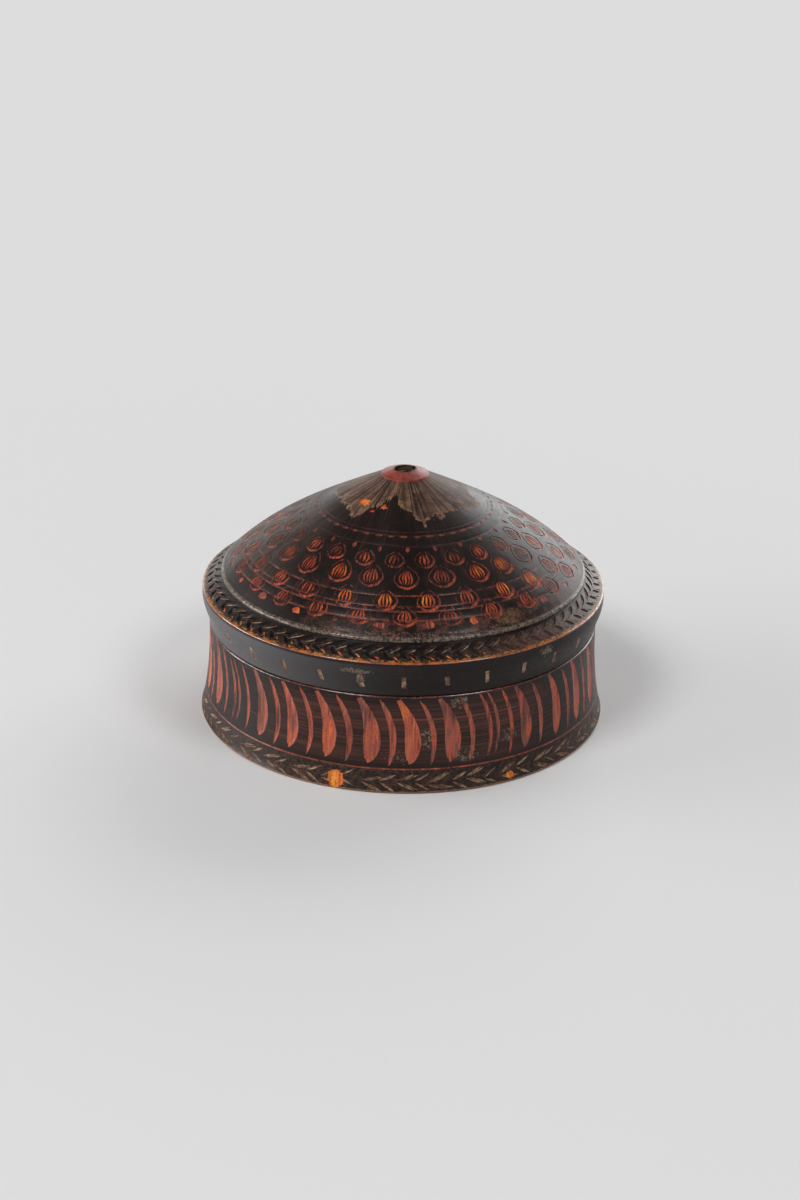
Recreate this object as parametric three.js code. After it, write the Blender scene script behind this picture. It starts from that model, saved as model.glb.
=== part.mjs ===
// A round lidded box of lathe-turned wood, coated with coloured lac.
// The base is one turning: a bowl with a flared wall, and a thin upright lip inside
// its shoulder. The lid is another: a shallow cone that rounds over at its foot, with
// a bead, a sloping rim and a side that draws in below. It drops over the lip and rests
// on the shoulder. The small boss at its top is bored for a finial, and what is left of
// the finial is the broken stub of its tenon, which fills the bottom of the bore.
// Millimetres, +Z up. The origin is on the axis, in the plane that the box stands on.

import * as THREE from "three";
import { mergeVertices } from "three/addons/utils/BufferGeometryUtils.js";

// How finely the turned outlines are divided.
const TURN_STEPS = 72; // round the axis
const CURVE_STEPS = 12; // along a long curved stretch
const ARC_STEPS = 5; // along a small arc

// Fits between the pieces.
const SEAT_GAP = 0.3; // between faces that rest on each other
const LIP_CLEARANCE = 0.35; // round the lip, so that the lid lifts and turns freely
const TENON_CLEARANCE = 0.3; // round the stub, filled with glue

// Base, outside.
const FOOT_RADIUS = 71; // the wall's widest, at the bottom
const FOOT_ROUND = 1; // rounding of the lowest edge
const WAIST_RADIUS = 67.65; // the wall's narrowest, at the shoulder
const SHOULDER_HEIGHT = 33.9;
const WALL_FLARE = 2.4; // power of the flare: higher keeps the wall upright for longer
const FOOT_RING_WIDTH = 11; // the ring that the box stands on
const FOOT_RECESS = 0.8; // depth of the hollowed underside

// Base, inside.
const FLOOR_THICKNESS = 5.2; // above the recess
const COVE_RADIUS = 7; // where the floor meets the wall
const LIP_HEIGHT = 8.6; // above the shoulder
const LIP_THICKNESS = 2.6;
const LIP_INSET = 3.3; // from the shoulder's edge to the lip's outer face

// Lid, outside.
const RIM_RADIUS = 70; // the box's widest above the foot
const SIDE_RISE = 10; // from the lid's lower edge up to the widest
const RIM_BAND = 2.8; // upright band above the side
const RIM_SLOPE_RISE = 3.4; // from the band's edge in to the bead
const DOME_RADIUS = 62.7; // the dome's foot
const BEAD_RADIUS = 1; // the bead round the dome's foot
const DOME_FOOT_RISE = 2.2; // the dome's foot above the rim slope's inner end
const CONE_SLOPE = 0.505; // rise over run of the upper dome
const DOME_ROUNDING = 6.1; // how far the dome's foot drops below the straight cone
const ROUNDING_POWER = 5; // how late that drop sets in
const EDGE_ROUND = 0.6; // worn edges of rim and shoulder

// Lid, inside.
const LID_THICKNESS = 4.6; // measured upright through the dome
const HOLLOW_FLAT_RADIUS = 12; // flat middle of the hollow, which leaves wood for the bore

// Boss, bore and stub at the lid's top.
const BOSS_RADIUS = 8.2;
const BOSS_STEP = 0.35; // upright edge of the boss
const BOSS_TOP_RADIUS = 3.9;
const BOSS_RISE = 1.55; // from its edge up to its top
const STUB_RADIUS = 2.5;
const BORE_DEPTH = 6.2; // from the boss's top
const STUB_BELOW_TOP = 1.3; // the break, below the boss's top

// Places that follow from the sizes above.
const lipOuterRadius = WAIST_RADIUS - LIP_INSET;
const boreOfBase = lipOuterRadius - LIP_THICKNESS;
const lipTop = SHOULDER_HEIGHT + LIP_HEIGHT;
const lidBottom = SHOULDER_HEIGHT + SEAT_GAP;
const mouthRadius = lipOuterRadius + LIP_CLEARANCE;
const mouthTop = lipTop + SEAT_GAP;
const sideTop = lidBottom + SIDE_RISE;
const rimEdge = sideTop + RIM_BAND;
const rimInner = rimEdge + RIM_SLOPE_RISE;
const domeFoot = rimInner + DOME_FOOT_RISE;
const bossFoot = domeHeight(BOSS_RADIUS);
const bossTop = bossFoot + BOSS_STEP + BOSS_RISE;
const boreRadius = STUB_RADIUS + TENON_CLEARANCE;
const boreBottom = bossTop - BORE_DEPTH;

// Outer radius of the base's wall at height z: it flares out towards the foot.
function wallRadius(z) {
  const down = (SHOULDER_HEIGHT - z) / SHOULDER_HEIGHT;
  return WAIST_RADIUS + (FOOT_RADIUS - WAIST_RADIUS) * down ** WALL_FLARE;
}

// Outer radius of the lid's side at height z: an ogee from lower edge to widest.
function sideRadius(z) {
  const ogee = THREE.MathUtils.smoothstep(z, lidBottom, sideTop);
  return WAIST_RADIUS + (RIM_RADIUS - WAIST_RADIUS) * ogee;
}

// Drop of the dome below its cone's tip at radius r.
function domeDrop(r) {
  return CONE_SLOPE * r + DOME_ROUNDING * (r / DOME_RADIUS) ** ROUNDING_POWER;
}

// Height of the dome's outer face at radius r.
function domeHeight(r) {
  return domeFoot + domeDrop(DOME_RADIUS) - domeDrop(r);
}

// Points of an outline for evenly spaced values, from one to another.
function stretch(from, to, steps, point) {
  return Array.from({ length: steps + 1 }, (_, i) => point(from + ((to - from) * i) / steps));
}

// Points of an arc about (r, z), with angles in degrees from outwards towards up.
function arc(r, z, radius, from, to, steps = ARC_STEPS) {
  return stretch(from, to, steps, (degrees) => {
    const angle = THREE.MathUtils.degToRad(degrees);
    return [r + radius * Math.cos(angle), z + radius * Math.sin(angle)];
  });
}

// A solid turned about the axis. Its outline of [radius, height] points starts and
// ends on the axis, and runs anticlockwise with the axis on its left.
function turned(name, outline, color, roughness) {
  const points = outline.map(([r, z]) => new THREE.Vector2(r, z));
  const lathe = new THREE.LatheGeometry(points, TURN_STEPS);
  lathe.deleteAttribute("normal");
  lathe.deleteAttribute("uv");
  const geometry = mergeVertices(lathe.rotateX(Math.PI / 2), 1e-4);
  geometry.computeVertexNormals();
  const material = new THREE.MeshStandardMaterial({ color, roughness, metalness: 0 });
  const mesh = new THREE.Mesh(geometry, material);
  mesh.name = name;
  return mesh;
}

// Base: foot ring, flared wall, shoulder, lip and coved inside.
function base() {
  const recessRadius = FOOT_RADIUS - FOOT_RING_WIDTH;
  const floor = FOOT_RECESS + FLOOR_THICKNESS;
  const shoulderEdge = SHOULDER_HEIGHT - EDGE_ROUND;
  const lipRound = LIP_THICKNESS / 2;
  return turned(
    "base",
    [
      [0, FOOT_RECESS],
      [recessRadius - FOOT_RECESS, FOOT_RECESS],
      [recessRadius, 0],
      ...arc(FOOT_RADIUS - FOOT_ROUND, FOOT_ROUND, FOOT_ROUND, -90, 0),
      ...stretch(2 * FOOT_ROUND, shoulderEdge, CURVE_STEPS, (z) => [wallRadius(z), z]),
      [WAIST_RADIUS - EDGE_ROUND, SHOULDER_HEIGHT],
      [lipOuterRadius, SHOULDER_HEIGHT],
      ...arc(lipOuterRadius - lipRound, lipTop - lipRound, lipRound, 0, 180),
      ...arc(boreOfBase - COVE_RADIUS, floor + COVE_RADIUS, COVE_RADIUS, 0, -90),
      [0, floor],
    ],
    0x8c3a22,
    0.4,
  );
}

// Lid: mouth, side, rim, bead, dome and bored boss outside; the hollow inside.
function lid() {
  const hollowEdge = mouthRadius - LIP_THICKNESS;
  const hollowHeight = (r) => domeHeight(r) - LID_THICKNESS;
  const beadCentre = [DOME_RADIUS - BEAD_RADIUS / 3, domeFoot - BEAD_RADIUS];
  return turned(
    "lid",
    [
      [0, hollowHeight(HOLLOW_FLAT_RADIUS)],
      ...stretch(HOLLOW_FLAT_RADIUS, hollowEdge, CURVE_STEPS, (r) => [r, hollowHeight(r)]),
      [hollowEdge, mouthTop],
      [mouthRadius, mouthTop],
      [mouthRadius, lidBottom],
      ...stretch(lidBottom, sideTop, CURVE_STEPS, (z) => [sideRadius(z), z]),
      [RIM_RADIUS, rimEdge - EDGE_ROUND / 2],
      [RIM_RADIUS - EDGE_ROUND, rimEdge],
      [DOME_RADIUS + BEAD_RADIUS, rimInner],
      ...arc(...beadCentre, BEAD_RADIUS, -40, 60),
      ...stretch(DOME_RADIUS - BEAD_RADIUS / 2, BOSS_RADIUS, CURVE_STEPS, (r) => [r, domeHeight(r)]),
      [BOSS_RADIUS, bossFoot + BOSS_STEP],
      [BOSS_TOP_RADIUS, bossTop],
      [boreRadius, bossTop],
      [boreRadius, boreBottom],
      [0, boreBottom],
    ],
    0x3a2420,
    0.35,
  );
}

// Stub: the lower end of the finial's tenon, broken off below the boss's top.
function finialStub() {
  const foot = boreBottom + SEAT_GAP;
  const crack = bossTop - STUB_BELOW_TOP;
  return turned(
    "finial_stub",
    [
      [0, foot],
      [STUB_RADIUS, foot],
      [STUB_RADIUS, crack],
      [0, crack],
    ],
    0x6f5a48,
    0.85,
  );
}

const box = new THREE.Group();
box.add(base(), lid(), finialStub());

export default box;
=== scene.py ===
# A round lidded box of turned wood, coated with black lac over red and cut through with
# a graver. Metres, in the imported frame: the foot stands on z = 0, and -Y faces the camera.

import math
import random

import bpy
import numpy as np
from mathutils import Matrix, Vector


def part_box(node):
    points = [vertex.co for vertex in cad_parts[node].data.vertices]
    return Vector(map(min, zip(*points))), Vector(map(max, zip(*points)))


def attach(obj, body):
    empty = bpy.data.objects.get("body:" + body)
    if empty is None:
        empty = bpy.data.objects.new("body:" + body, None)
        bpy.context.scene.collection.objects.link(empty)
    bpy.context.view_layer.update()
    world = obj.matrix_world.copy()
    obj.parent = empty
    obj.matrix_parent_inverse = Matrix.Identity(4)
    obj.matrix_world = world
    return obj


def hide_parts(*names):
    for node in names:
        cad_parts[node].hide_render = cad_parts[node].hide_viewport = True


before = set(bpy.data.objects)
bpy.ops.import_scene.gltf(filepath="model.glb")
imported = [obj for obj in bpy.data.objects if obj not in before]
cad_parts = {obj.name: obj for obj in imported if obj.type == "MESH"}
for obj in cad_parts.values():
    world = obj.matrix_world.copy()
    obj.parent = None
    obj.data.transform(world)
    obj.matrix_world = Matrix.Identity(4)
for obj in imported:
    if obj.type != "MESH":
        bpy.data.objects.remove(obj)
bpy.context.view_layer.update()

MM = 0.001


# Camera. It stands 0.8 m from the box, about 23 degrees above it, and leans by a degree.
# Its place and lens were fitted to the turned circles of the box.
CAMERA_DISTANCE = 0.8
CAMERA_ABOVE_BOX = math.radians(23.23)
CAMERA_TARGET_HEIGHT = 40 * MM
CAMERA_PITCH = math.radians(23.29)
CAMERA_YAW = math.radians(-0.08)
CAMERA_ROLL = math.radians(0.96)
LENS_MM = 68.45
SENSOR_LONG_SIDE_MM = 36.0


def new_object(name, data):
    """An object that stands in the scene."""
    thing = bpy.data.objects.new(name, data)
    bpy.context.scene.collection.objects.link(thing)
    return thing


camera_data = bpy.data.cameras.new("camera")
camera_data.lens = LENS_MM
camera_data.sensor_width = SENSOR_LONG_SIDE_MM
camera = new_object("camera", camera_data)
turn = (
    Matrix.Rotation(-CAMERA_YAW, 4, "Z")
    @ Matrix.Rotation(math.pi / 2 - CAMERA_PITCH, 4, "X")
    @ Matrix.Rotation(CAMERA_ROLL, 4, "Z")
)
camera_place = Vector((
    0,
    -CAMERA_DISTANCE * math.cos(CAMERA_ABOVE_BOX),
    CAMERA_TARGET_HEIGHT + CAMERA_DISTANCE * math.sin(CAMERA_ABOVE_BOX),
))
camera.matrix_world = Matrix.Translation(camera_place) @ turn
bpy.context.scene.camera = camera
bpy.context.scene.view_settings.view_transform = "Standard"


# Floor and light. A seamless pale sheet under soft studio light: two lamps high in front,
# and large ones low at the left and behind, for the sheen on the lac. Away from the box the
# camera sees the sheet at one even tone, as on a backdrop that has a light of its own.
FLOOR_RADIUS = 6.0
FLOOR_TONE = (0.74, 0.74, 0.74, 1.0)
BACKDROP_TONE = (0.72, 0.72, 0.72, 1.0)
LIT_BY_LAMPS = 0.17  # radius round the box that shows the lamps' light and the shadows
ALL_BACKDROP = 0.45
BACKDROP_FADES = 0.25  # how far up a line of sight rises, as a sine, where the backdrop fades
BACKDROP_GONE = 0.5
SURROUND_LOW = (1.0, 1.0, 1.0, 1.0)
SURROUND_HIGH = (0.2, 0.2, 0.2, 1.0)
SURROUND_STRENGTH = 0.28


class Wiring:
    """Adds nodes to a tree and links them, so that a material reads as a list of steps."""

    def __init__(self, tree):
        self.tree = tree

    def node(self, kind, **settings):
        node = self.tree.nodes.new(kind)
        for name, value in settings.items():
            setattr(node, name, value)
        return node

    def feed(self, socket, value):
        if isinstance(value, bpy.types.NodeSocket):
            self.tree.links.new(value, socket)
        elif value is not None:
            socket.default_value = value

    def fed(self, kind, inputs, **settings):
        """The outputs of a new node, with its inputs fed by their names."""
        node = self.node(kind, **settings)
        for name, value in inputs.items():
            self.feed(node.inputs[name], value)
        return node.outputs

    def calc(self, operation, *values, clamp=False):
        node = self.node("ShaderNodeMath", operation=operation, use_clamp=clamp)
        for socket, value in zip(node.inputs, values):
            self.feed(socket, value)
        return node.outputs[0]

    def plus(self, a, b):
        return self.calc("ADD", a, b)

    def minus(self, a, b):
        return self.calc("SUBTRACT", a, b)

    def over(self, a, b):
        return self.calc("DIVIDE", a, b)

    def times(self, first, *others):
        """The product of numbers or masks."""
        for other in others:
            first = self.calc("MULTIPLY", first, other)
        return first

    def most(self, first, *others):
        """The largest of numbers or masks."""
        for other in others:
            first = self.calc("MAXIMUM", first, other)
        return first

    def vector(self, x, y, z):
        node = self.node("ShaderNodeCombineXYZ")
        for socket, value in zip(node.inputs, (x, y, z)):
            self.feed(socket, value)
        return node.outputs[0]

    def split(self, vector):
        node = self.node("ShaderNodeSeparateXYZ")
        self.feed(node.inputs[0], vector)
        return node.outputs

    def ramp(self, value, low, high, at_low=0.0, at_high=1.0):
        """A smooth change from at_low to at_high as the value goes from low to high."""
        node = self.node("ShaderNodeMapRange", interpolation_type="SMOOTHSTEP")
        for socket, number in zip(node.inputs, (value, low, high, at_low, at_high)):
            self.feed(socket, number)
        return node.outputs[0]

    def near(self, value, middle, reach, soft):
        """1 where the value is within reach of the middle, fading out over soft."""
        away = self.calc("ABSOLUTE", self.calc("SUBTRACT", value, middle))
        return self.ramp(away, reach, reach + soft, 1.0, 0.0)

    def noise(self, vector, scale, detail=2.0, roughness=0.5, distortion=0.0):
        return self.fed("ShaderNodeTexNoise", {
            "Vector": vector, "Scale": scale, "Detail": detail, "Roughness": roughness,
            "Distortion": distortion,
        })["Fac"]

    def swing(self, *noise):
        """Noise about 0, as often below it as above."""
        return self.minus(self.noise(*noise), 0.5)

    def patches(self, vector, scale, detail, roughness, low, high):
        """Patches with soft borders: 0 where the noise is under low, 1 where it is over high."""
        return self.ramp(self.noise(vector, scale, detail, roughness), low, high)

    def colour(self, mask, below, above):
        """The colour below, covered by the colour above where the mask is 1."""
        node = self.node("ShaderNodeMix", data_type="RGBA")
        self.feed(node.inputs[0], mask)
        self.feed(node.inputs[6], below)
        self.feed(node.inputs[7], above)
        return node.outputs[2]

    def level(self, mask, below, above):
        """The number below, changed to the number above where the mask is 1."""
        node = self.node("ShaderNodeMix", data_type="FLOAT")
        self.feed(node.inputs[0], mask)
        self.feed(node.inputs[2], below)
        self.feed(node.inputs[3], above)
        return node.outputs[0]

    def blend(self, mask, below, above):
        """The shader below, covered by the shader above where the mask is 1."""
        node = self.node("ShaderNodeMixShader")
        for socket, value in zip(node.inputs, (mask, below, above)):
            self.feed(socket, value)
        return node.outputs[0]

    def group(self, group, **inputs):
        named = {name.replace("_", " "): value for name, value in inputs.items()}
        return self.fed("ShaderNodeGroup", named, node_tree=group)


def seen_rays(w):
    """1 for rays that show the backdrop itself: from the camera, a shine or a clear thing."""
    ray = w.node("ShaderNodeLightPath").outputs
    return w.most(ray["Is Camera Ray"], ray["Is Glossy Ray"], ray["Is Transmission Ray"])


floor_mesh = bpy.data.meshes.new("floor")
corners = [(x * FLOOR_RADIUS, y * FLOOR_RADIUS, 0) for x, y in ((-1, -1), (1, -1), (1, 1), (-1, 1))]
floor_mesh.from_pydata(corners, [], [(0, 1, 2, 3)])
floor_material = bpy.data.materials.new("paper")
floor_material.use_nodes = True
floor_shader = floor_material.node_tree.nodes["Principled BSDF"]
floor_shader.inputs["Base Color"].default_value = FLOOR_TONE
floor_shader.inputs["Roughness"].default_value = 0.9
floor_shader.inputs["Specular IOR Level"].default_value = 0.1
w = Wiring(floor_material.node_tree)
here = w.node("ShaderNodeTexCoord").outputs["Object"]
distance = w.fed("ShaderNodeVectorMath", {"Vector": here}, operation="LENGTH")["Value"]
far_off = w.ramp(distance, LIT_BY_LAMPS, ALL_BACKDROP)
backdrop = w.fed("ShaderNodeEmission", {"Color": BACKDROP_TONE})[0]
blend = w.blend(w.times(far_off, seen_rays(w)), floor_shader.outputs[0], backdrop)
w.feed(floor_material.node_tree.nodes["Material Output"].inputs["Surface"], blend)
floor_mesh.materials.append(floor_material)
floor = new_object("floor", floor_mesh)

world = bpy.data.worlds.new("studio")
world.use_nodes = True
bpy.context.scene.world = world
w = Wiring(world.node_tree)
rise = w.split(w.node("ShaderNodeTexCoord").outputs["Generated"])[2]
background = world.node_tree.nodes["Background"]
w.feed(background.inputs["Color"], w.colour(w.ramp(rise, 0.1, 0.8), SURROUND_LOW, SURROUND_HIGH))
background.inputs["Strength"].default_value = SURROUND_STRENGTH
backdrop = w.fed("ShaderNodeBackground", {"Color": BACKDROP_TONE})[0]
near_floor = w.ramp(rise, BACKDROP_FADES, BACKDROP_GONE, 1.0, 0.0)
blend = w.blend(w.times(near_floor, seen_rays(w)), background.outputs[0], backdrop)
w.feed(world.node_tree.nodes["World Output"].inputs["Surface"], blend)


def softbox(name, azimuth, elevation, distance, width, height, brightness):
    """A rectangular lamp that faces the box. Azimuth 0 is the camera's side, 90 its right."""
    side = math.radians(azimuth)
    rise = math.radians(elevation)
    spot = distance * Vector((
        math.sin(side) * math.cos(rise), -math.cos(side) * math.cos(rise), math.sin(rise),
    ))
    lamp = bpy.data.lights.new(name, "AREA")
    lamp.shape = "RECTANGLE"
    lamp.size = width
    lamp.size_y = height
    lamp.energy = brightness * math.pi * width * height
    turn_to_box = spot.to_track_quat("Z", "Y").to_matrix().to_4x4()
    new_object(name, lamp).matrix_world = Matrix.Translation(spot) @ turn_to_box


softbox("lamp_front_left", -40, 50, 1.8, 0.6, 0.6, 11.0)
softbox("lamp_front_right", 47, 50, 1.8, 0.55, 0.6, 8.0)
softbox("lamp_left", -92, 8, 1.5, 1.2, 0.7, 8.5)
softbox("lamp_back_right", 150, 22, 1.6, 1.6, 1.2, 3.2)
softbox("lamp_back_left", -162, 9, 1.6, 0.9, 0.45, 1.5)


# Lac. Sticks of coloured lac are pressed against the turning wood, red first and black
# on top. Handling rubs the black thin, and a graver cuts down to the red and the yellow.


def rgb(red, green, blue):
    """A linear colour from the 0 to 255 values that a screen shows."""
    def linear(value):
        value /= 255
        return value / 12.92 if value <= 0.04045 else ((value + 0.055) / 1.055) ** 2.4
    return (linear(red), linear(green), linear(blue), 1.0)


BLACK_LAC = rgb(21, 13, 10)
BROWN_LAC = rgb(58, 34, 28)
DULL_RED = rgb(112, 56, 47)
RED_LAC = rgb(176, 78, 55)
ORANGE_LAC = rgb(212, 106, 50)
YELLOW_LAC = rgb(230, 152, 58)
PALE_SALMON = rgb(190, 124, 98)
GREY_DUST = rgb(158, 150, 136)
FADED_RED = rgb(150, 112, 98)
DULLED_CUT = rgb(70, 46, 38)


def new_group(name, inputs, outputs, **kinds):
    """An empty shader group, its wiring, its inputs and its outputs. Its sockets are floats,
    apart from the outputs that kinds names."""
    group = bpy.data.node_groups.new(name, "ShaderNodeTree")
    for label in inputs:
        group.interface.new_socket(label, in_out="INPUT", socket_type="NodeSocketFloat")
    for label in outputs:
        kind = kinds.get(label, "Float")
        group.interface.new_socket(label, in_out="OUTPUT", socket_type="NodeSocket" + kind)
    wiring = Wiring(group)
    source = wiring.node("NodeGroupInput").outputs
    result = wiring.node("NodeGroupOutput").inputs
    return group, wiring, source, result


def place_on_box_group():
    """Where a point is on the box. Angle is in degrees, 0 in front and rising to the right,
    and the rest is in millimetres. Streaks and Rings are stretched places for noise: the
    first up and down the box, and the second round it."""
    group, w, _, result = new_group(
        "place_on_box", (), ("Angle", "Radius", "Height", "Place", "Streaks", "Rings"),
        Place="Vector", Streaks="Vector", Rings="Vector",
    )
    here = w.node("ShaderNodeTexCoord").outputs["Object"]
    place = w.fed("ShaderNodeVectorMath", {"Vector": here, "Scale": 1 / MM}, operation="SCALE")[0]
    x, y, z = w.split(place)
    w.feed(result["Angle"], w.calc("DEGREES", w.calc("ARCTAN2", x, w.times(y, -1.0))))
    squares = w.plus(w.times(x, x), w.times(y, y))
    radius = w.calc("SQRT", squares)
    w.feed(result["Radius"], radius)
    w.feed(result["Height"], z)
    w.feed(result["Place"], place)
    across = w.over(x, w.most(radius, 0.01))
    back = w.over(y, w.most(radius, 0.01))
    slow_rise = w.times(w.minus(z, radius), 0.08)
    streaks = w.vector(w.times(across, 60.0), w.times(back, 60.0), slow_rise)
    w.feed(result["Streaks"], streaks)
    w.feed(result["Rings"], w.vector(w.calc("MULTIPLY_ADD", across, 0.6, radius), z, back))
    return group


def worn_edge_group():
    """Where a turned edge is rubbed through: within Width of the edge at Edge Radius and
    Edge Height, in millimetres, with a ragged border."""
    inputs = ("Edge Radius", "Edge Height", "Width", "Raggedness")
    group, w, source, result = new_group("worn_edge", inputs, ("Mask",))
    spot = w.group(place_on_box)
    across = w.minus(spot["Radius"], source["Edge Radius"])
    along = w.minus(spot["Height"], source["Edge Height"])
    squares = w.plus(w.times(across, across), w.times(along, along))
    ragged = w.swing(spot["Place"], 0.9, 4.0, 0.65)
    reach = w.calc("MULTIPLY_ADD", ragged, source["Raggedness"], source["Width"])
    away = w.minus(w.calc("SQRT", squares), reach)
    w.feed(result["Mask"], w.ramp(away, -0.12, 0.12, 1.0, 0.0))
    return group


def spot_group():
    """An irregular spot round an angle and a height, so many millimetres wide and tall."""
    inputs = ("Angle", "Height", "Wide", "Tall", "Broken")
    group, w, source, result = new_group("spot", inputs, ("Mask",))
    spot = w.group(place_on_box)
    turned_by = w.calc("RADIANS", w.minus(spot["Angle"], source["Angle"]))
    across = w.over(w.times(turned_by, spot["Radius"]), source["Wide"])
    along = w.over(w.minus(spot["Height"], source["Height"]), source["Tall"])
    squares = w.plus(w.times(across, across), w.times(along, along))
    ragged = w.swing(spot["Place"], 0.8, 5.0, 0.7)
    reach = w.calc("MULTIPLY_ADD", ragged, source["Broken"], w.calc("SQRT", squares))
    w.feed(result["Mask"], w.ramp(reach, 0.42, 0.58, 1.0, 0.0))
    return group


def red_lac_group():
    """The colour in a cut. Depth goes from the dull red under the black to the yellow that
    lies deepest, and streaks run the way that the graver went."""
    group, w, source, result = new_group(
        "red_lac", ("Depth", "Streaks"), ("Colour", "Roughness"), Colour="Color",
    )
    spot = w.group(place_on_box)
    streaks = w.swing(spot["Streaks"], 1.1, 4.0, 0.65)
    patches = w.swing(spot["Place"], 0.11, 2.0, 0.5)
    depth = w.calc("MULTIPLY_ADD", streaks, w.times(source["Streaks"], 2.4), source["Depth"])
    depth = w.calc("MULTIPLY_ADD", patches, 0.6, depth)
    colour = w.colour(w.ramp(depth, 0.0, 0.3), BROWN_LAC, DULL_RED)
    colour = w.colour(w.ramp(depth, 0.25, 0.55), colour, RED_LAC)
    colour = w.colour(w.ramp(depth, 0.6, 0.85), colour, ORANGE_LAC)
    colour = w.colour(w.ramp(depth, 0.85, 1.1), colour, YELLOW_LAC)
    pale = w.patches(spot["Streaks"], 1.7, 3.0, 0.6, 0.55, 0.68)
    colour = w.colour(w.times(pale, 0.4), colour, PALE_SALMON)
    missed = w.ramp(w.noise(spot["Streaks"], 1.3, 4.0, 0.7, 0.2), 0.34, 0.42, 1.0, 0.0)
    dirt = w.patches(spot["Place"], 1.2, 5.0, 0.75, 0.54, 0.66)
    dirt = w.most(dirt, w.times(missed, 0.8))
    w.feed(result["Colour"], w.colour(w.times(dirt, 0.75), colour, BLACK_LAC))
    w.feed(result["Roughness"], w.level(dirt, 0.42, 0.6))
    return group


def black_lac_group():
    """The black coat: almost black, brown where it is thin, with turning marks in it."""
    group, w, source, result = new_group(
        "black_lac", ("Rubbed",), ("Colour", "Roughness", "Relief"), Colour="Color",
    )
    spot = w.group(place_on_box)
    turning = w.noise(spot["Rings"], 2.4, 4.0, 0.7)
    mottle = w.noise(spot["Place"], 0.28, 5.0, 0.65)
    thin = w.times(w.ramp(mottle, 0.42, 0.72), w.ramp(turning, 0.4, 0.65))
    thin = w.calc("MULTIPLY_ADD", thin, 0.55, source["Rubbed"], clamp=True)
    w.feed(result["Colour"], w.colour(thin, BLACK_LAC, BROWN_LAC))
    grease = w.noise(spot["Place"], 0.6, 4.0, 0.6)
    w.feed(result["Roughness"], w.ramp(grease, 0.3, 0.75, 0.4, 0.55))
    scratches = w.noise(spot["Place"], 5.0, 3.0, 0.6)
    w.feed(result["Relief"], w.calc("MULTIPLY_ADD", turning, 0.7, w.times(scratches, 0.3)))
    return group


def dust_group():
    """Pale dust and scuffs in specks and short smears, more of them where Amount is high."""
    group, w, source, result = new_group("dust", ("Amount",), ("Mask",))
    spot = w.group(place_on_box)
    specks = w.noise(spot["Place"], 1.1, 6.0, 0.75, 0.5)
    clouds = w.swing(spot["Place"], 0.12, 3.0, 0.6)
    threshold = w.calc("MULTIPLY_ADD", source["Amount"], -0.32, 0.9)
    threshold = w.calc("MULTIPLY_ADD", clouds, -0.35, threshold)
    w.feed(result["Mask"], w.ramp(w.minus(specks, threshold), 0.0, 0.1))
    return group


place_on_box = place_on_box_group()
worn_edge = worn_edge_group()
spot_mark = spot_group()
red_lac = red_lac_group()
black_lac = black_lac_group()
dust = dust_group()


def lac_material(name):
    """A material with its wiring and its shader."""
    material = bpy.data.materials.new(name)
    material.use_nodes = True
    return material, Wiring(material.node_tree), material.node_tree.nodes["Principled BSDF"]


def finish_lac(w, shader, colour, roughness, relief, depth, gloss=None):
    """Connects a finish to its shader, with relief as a bump of so many metres. Gloss is
    how much of a thin hard shine lies over it. The sheen is drawn out up and down, across
    the fine marks of turning."""
    settings = {
        "Base Color": colour, "Roughness": roughness, "Specular IOR Level": 0.18,
        "Anisotropic": 0.6, "Anisotropic Rotation": 0.25,
        "Coat Weight": gloss, "Coat Roughness": 0.12, "Coat IOR": 2.0,
        "Normal": w.fed("ShaderNodeBump", {"Distance": depth, "Strength": 1.0, "Height": relief})[0],
    }
    for name, value in settings.items():
        w.feed(shader.inputs[name], value)


def cut_lac(name, dirt_in_cut, depth_gain, worn=None, faded=0.0):
    """What shows in a graver's cut. The cut's own depth attribute says how deep it went.
    Where the group worn gives a mask, the colour is dulled like the lac round it. Faded is
    how far handling has greyed the colour."""
    material, w, shader = lac_material(name)
    spot = w.group(place_on_box)
    depth = w.node("ShaderNodeAttribute", attribute_name="depth").outputs["Fac"]
    lac = w.group(red_lac, Depth=w.times(depth, depth_gain), Streaks=0.72)
    filled = w.ramp(w.noise(spot["Place"], 0.7, 4.0, 0.7), 0.75 - dirt_in_cut, 0.9 - dirt_in_cut)
    greyed = w.times(w.patches(spot["Streaks"], 0.6, 5.0, 0.7, 0.3, 0.7), faded)
    colour = w.colour(greyed, lac["Colour"], FADED_RED)
    colour = w.colour(filled, colour, BLACK_LAC)
    if worn:
        colour = w.colour(w.times(w.group(worn)["Mask"], 0.85), colour, DULLED_CUT)
    finish_lac(w, shader, colour, lac["Roughness"], w.noise(spot["Place"], 4.0, 4.0, 0.7), 0.05 * MM)
    return material


# Base. One turning of light wood: a flared wall on a flat foot ring, with a thin lip
# inside the shoulder for the lid to drop over. The wall is cut through to the red in long
# curved strokes over a carved foot band, and the inside is plain red-brown lac.
_, base_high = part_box("base")
lid_low, lid_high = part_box("lid")
SEAT_GAP = 0.3 * MM
SHOULDER = lid_low.z - SEAT_GAP
FOOT_RADIUS = base_high.x
LIP_TOP = base_high.z
WAIST_RADIUS = 67.65 * MM
WALL_FLARE = 2.4
FOOT_ROUND = 1.0 * MM
EDGE_ROUND = 0.6 * MM
LIP_OUTER = 64.35 * MM
LIP_THICKNESS = 2.6 * MM
COVE_RADIUS = 7 * MM
FLOOR_TOP = 6 * MM
RECESS_RADIUS = 60 * MM
RECESS_DEPTH = 0.8 * MM
BAND_LINE = 8.4 * MM  # red line between the strokes and the foot band
LINE_WIDTH = 0.5 * MM
LINE_DEPTH = 0.12 * MM
STROKE_PAIRS = 31
FOOT_LEAVES_ROUND = 72
FLAKE_DEPTH = 0.35 * MM
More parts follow.
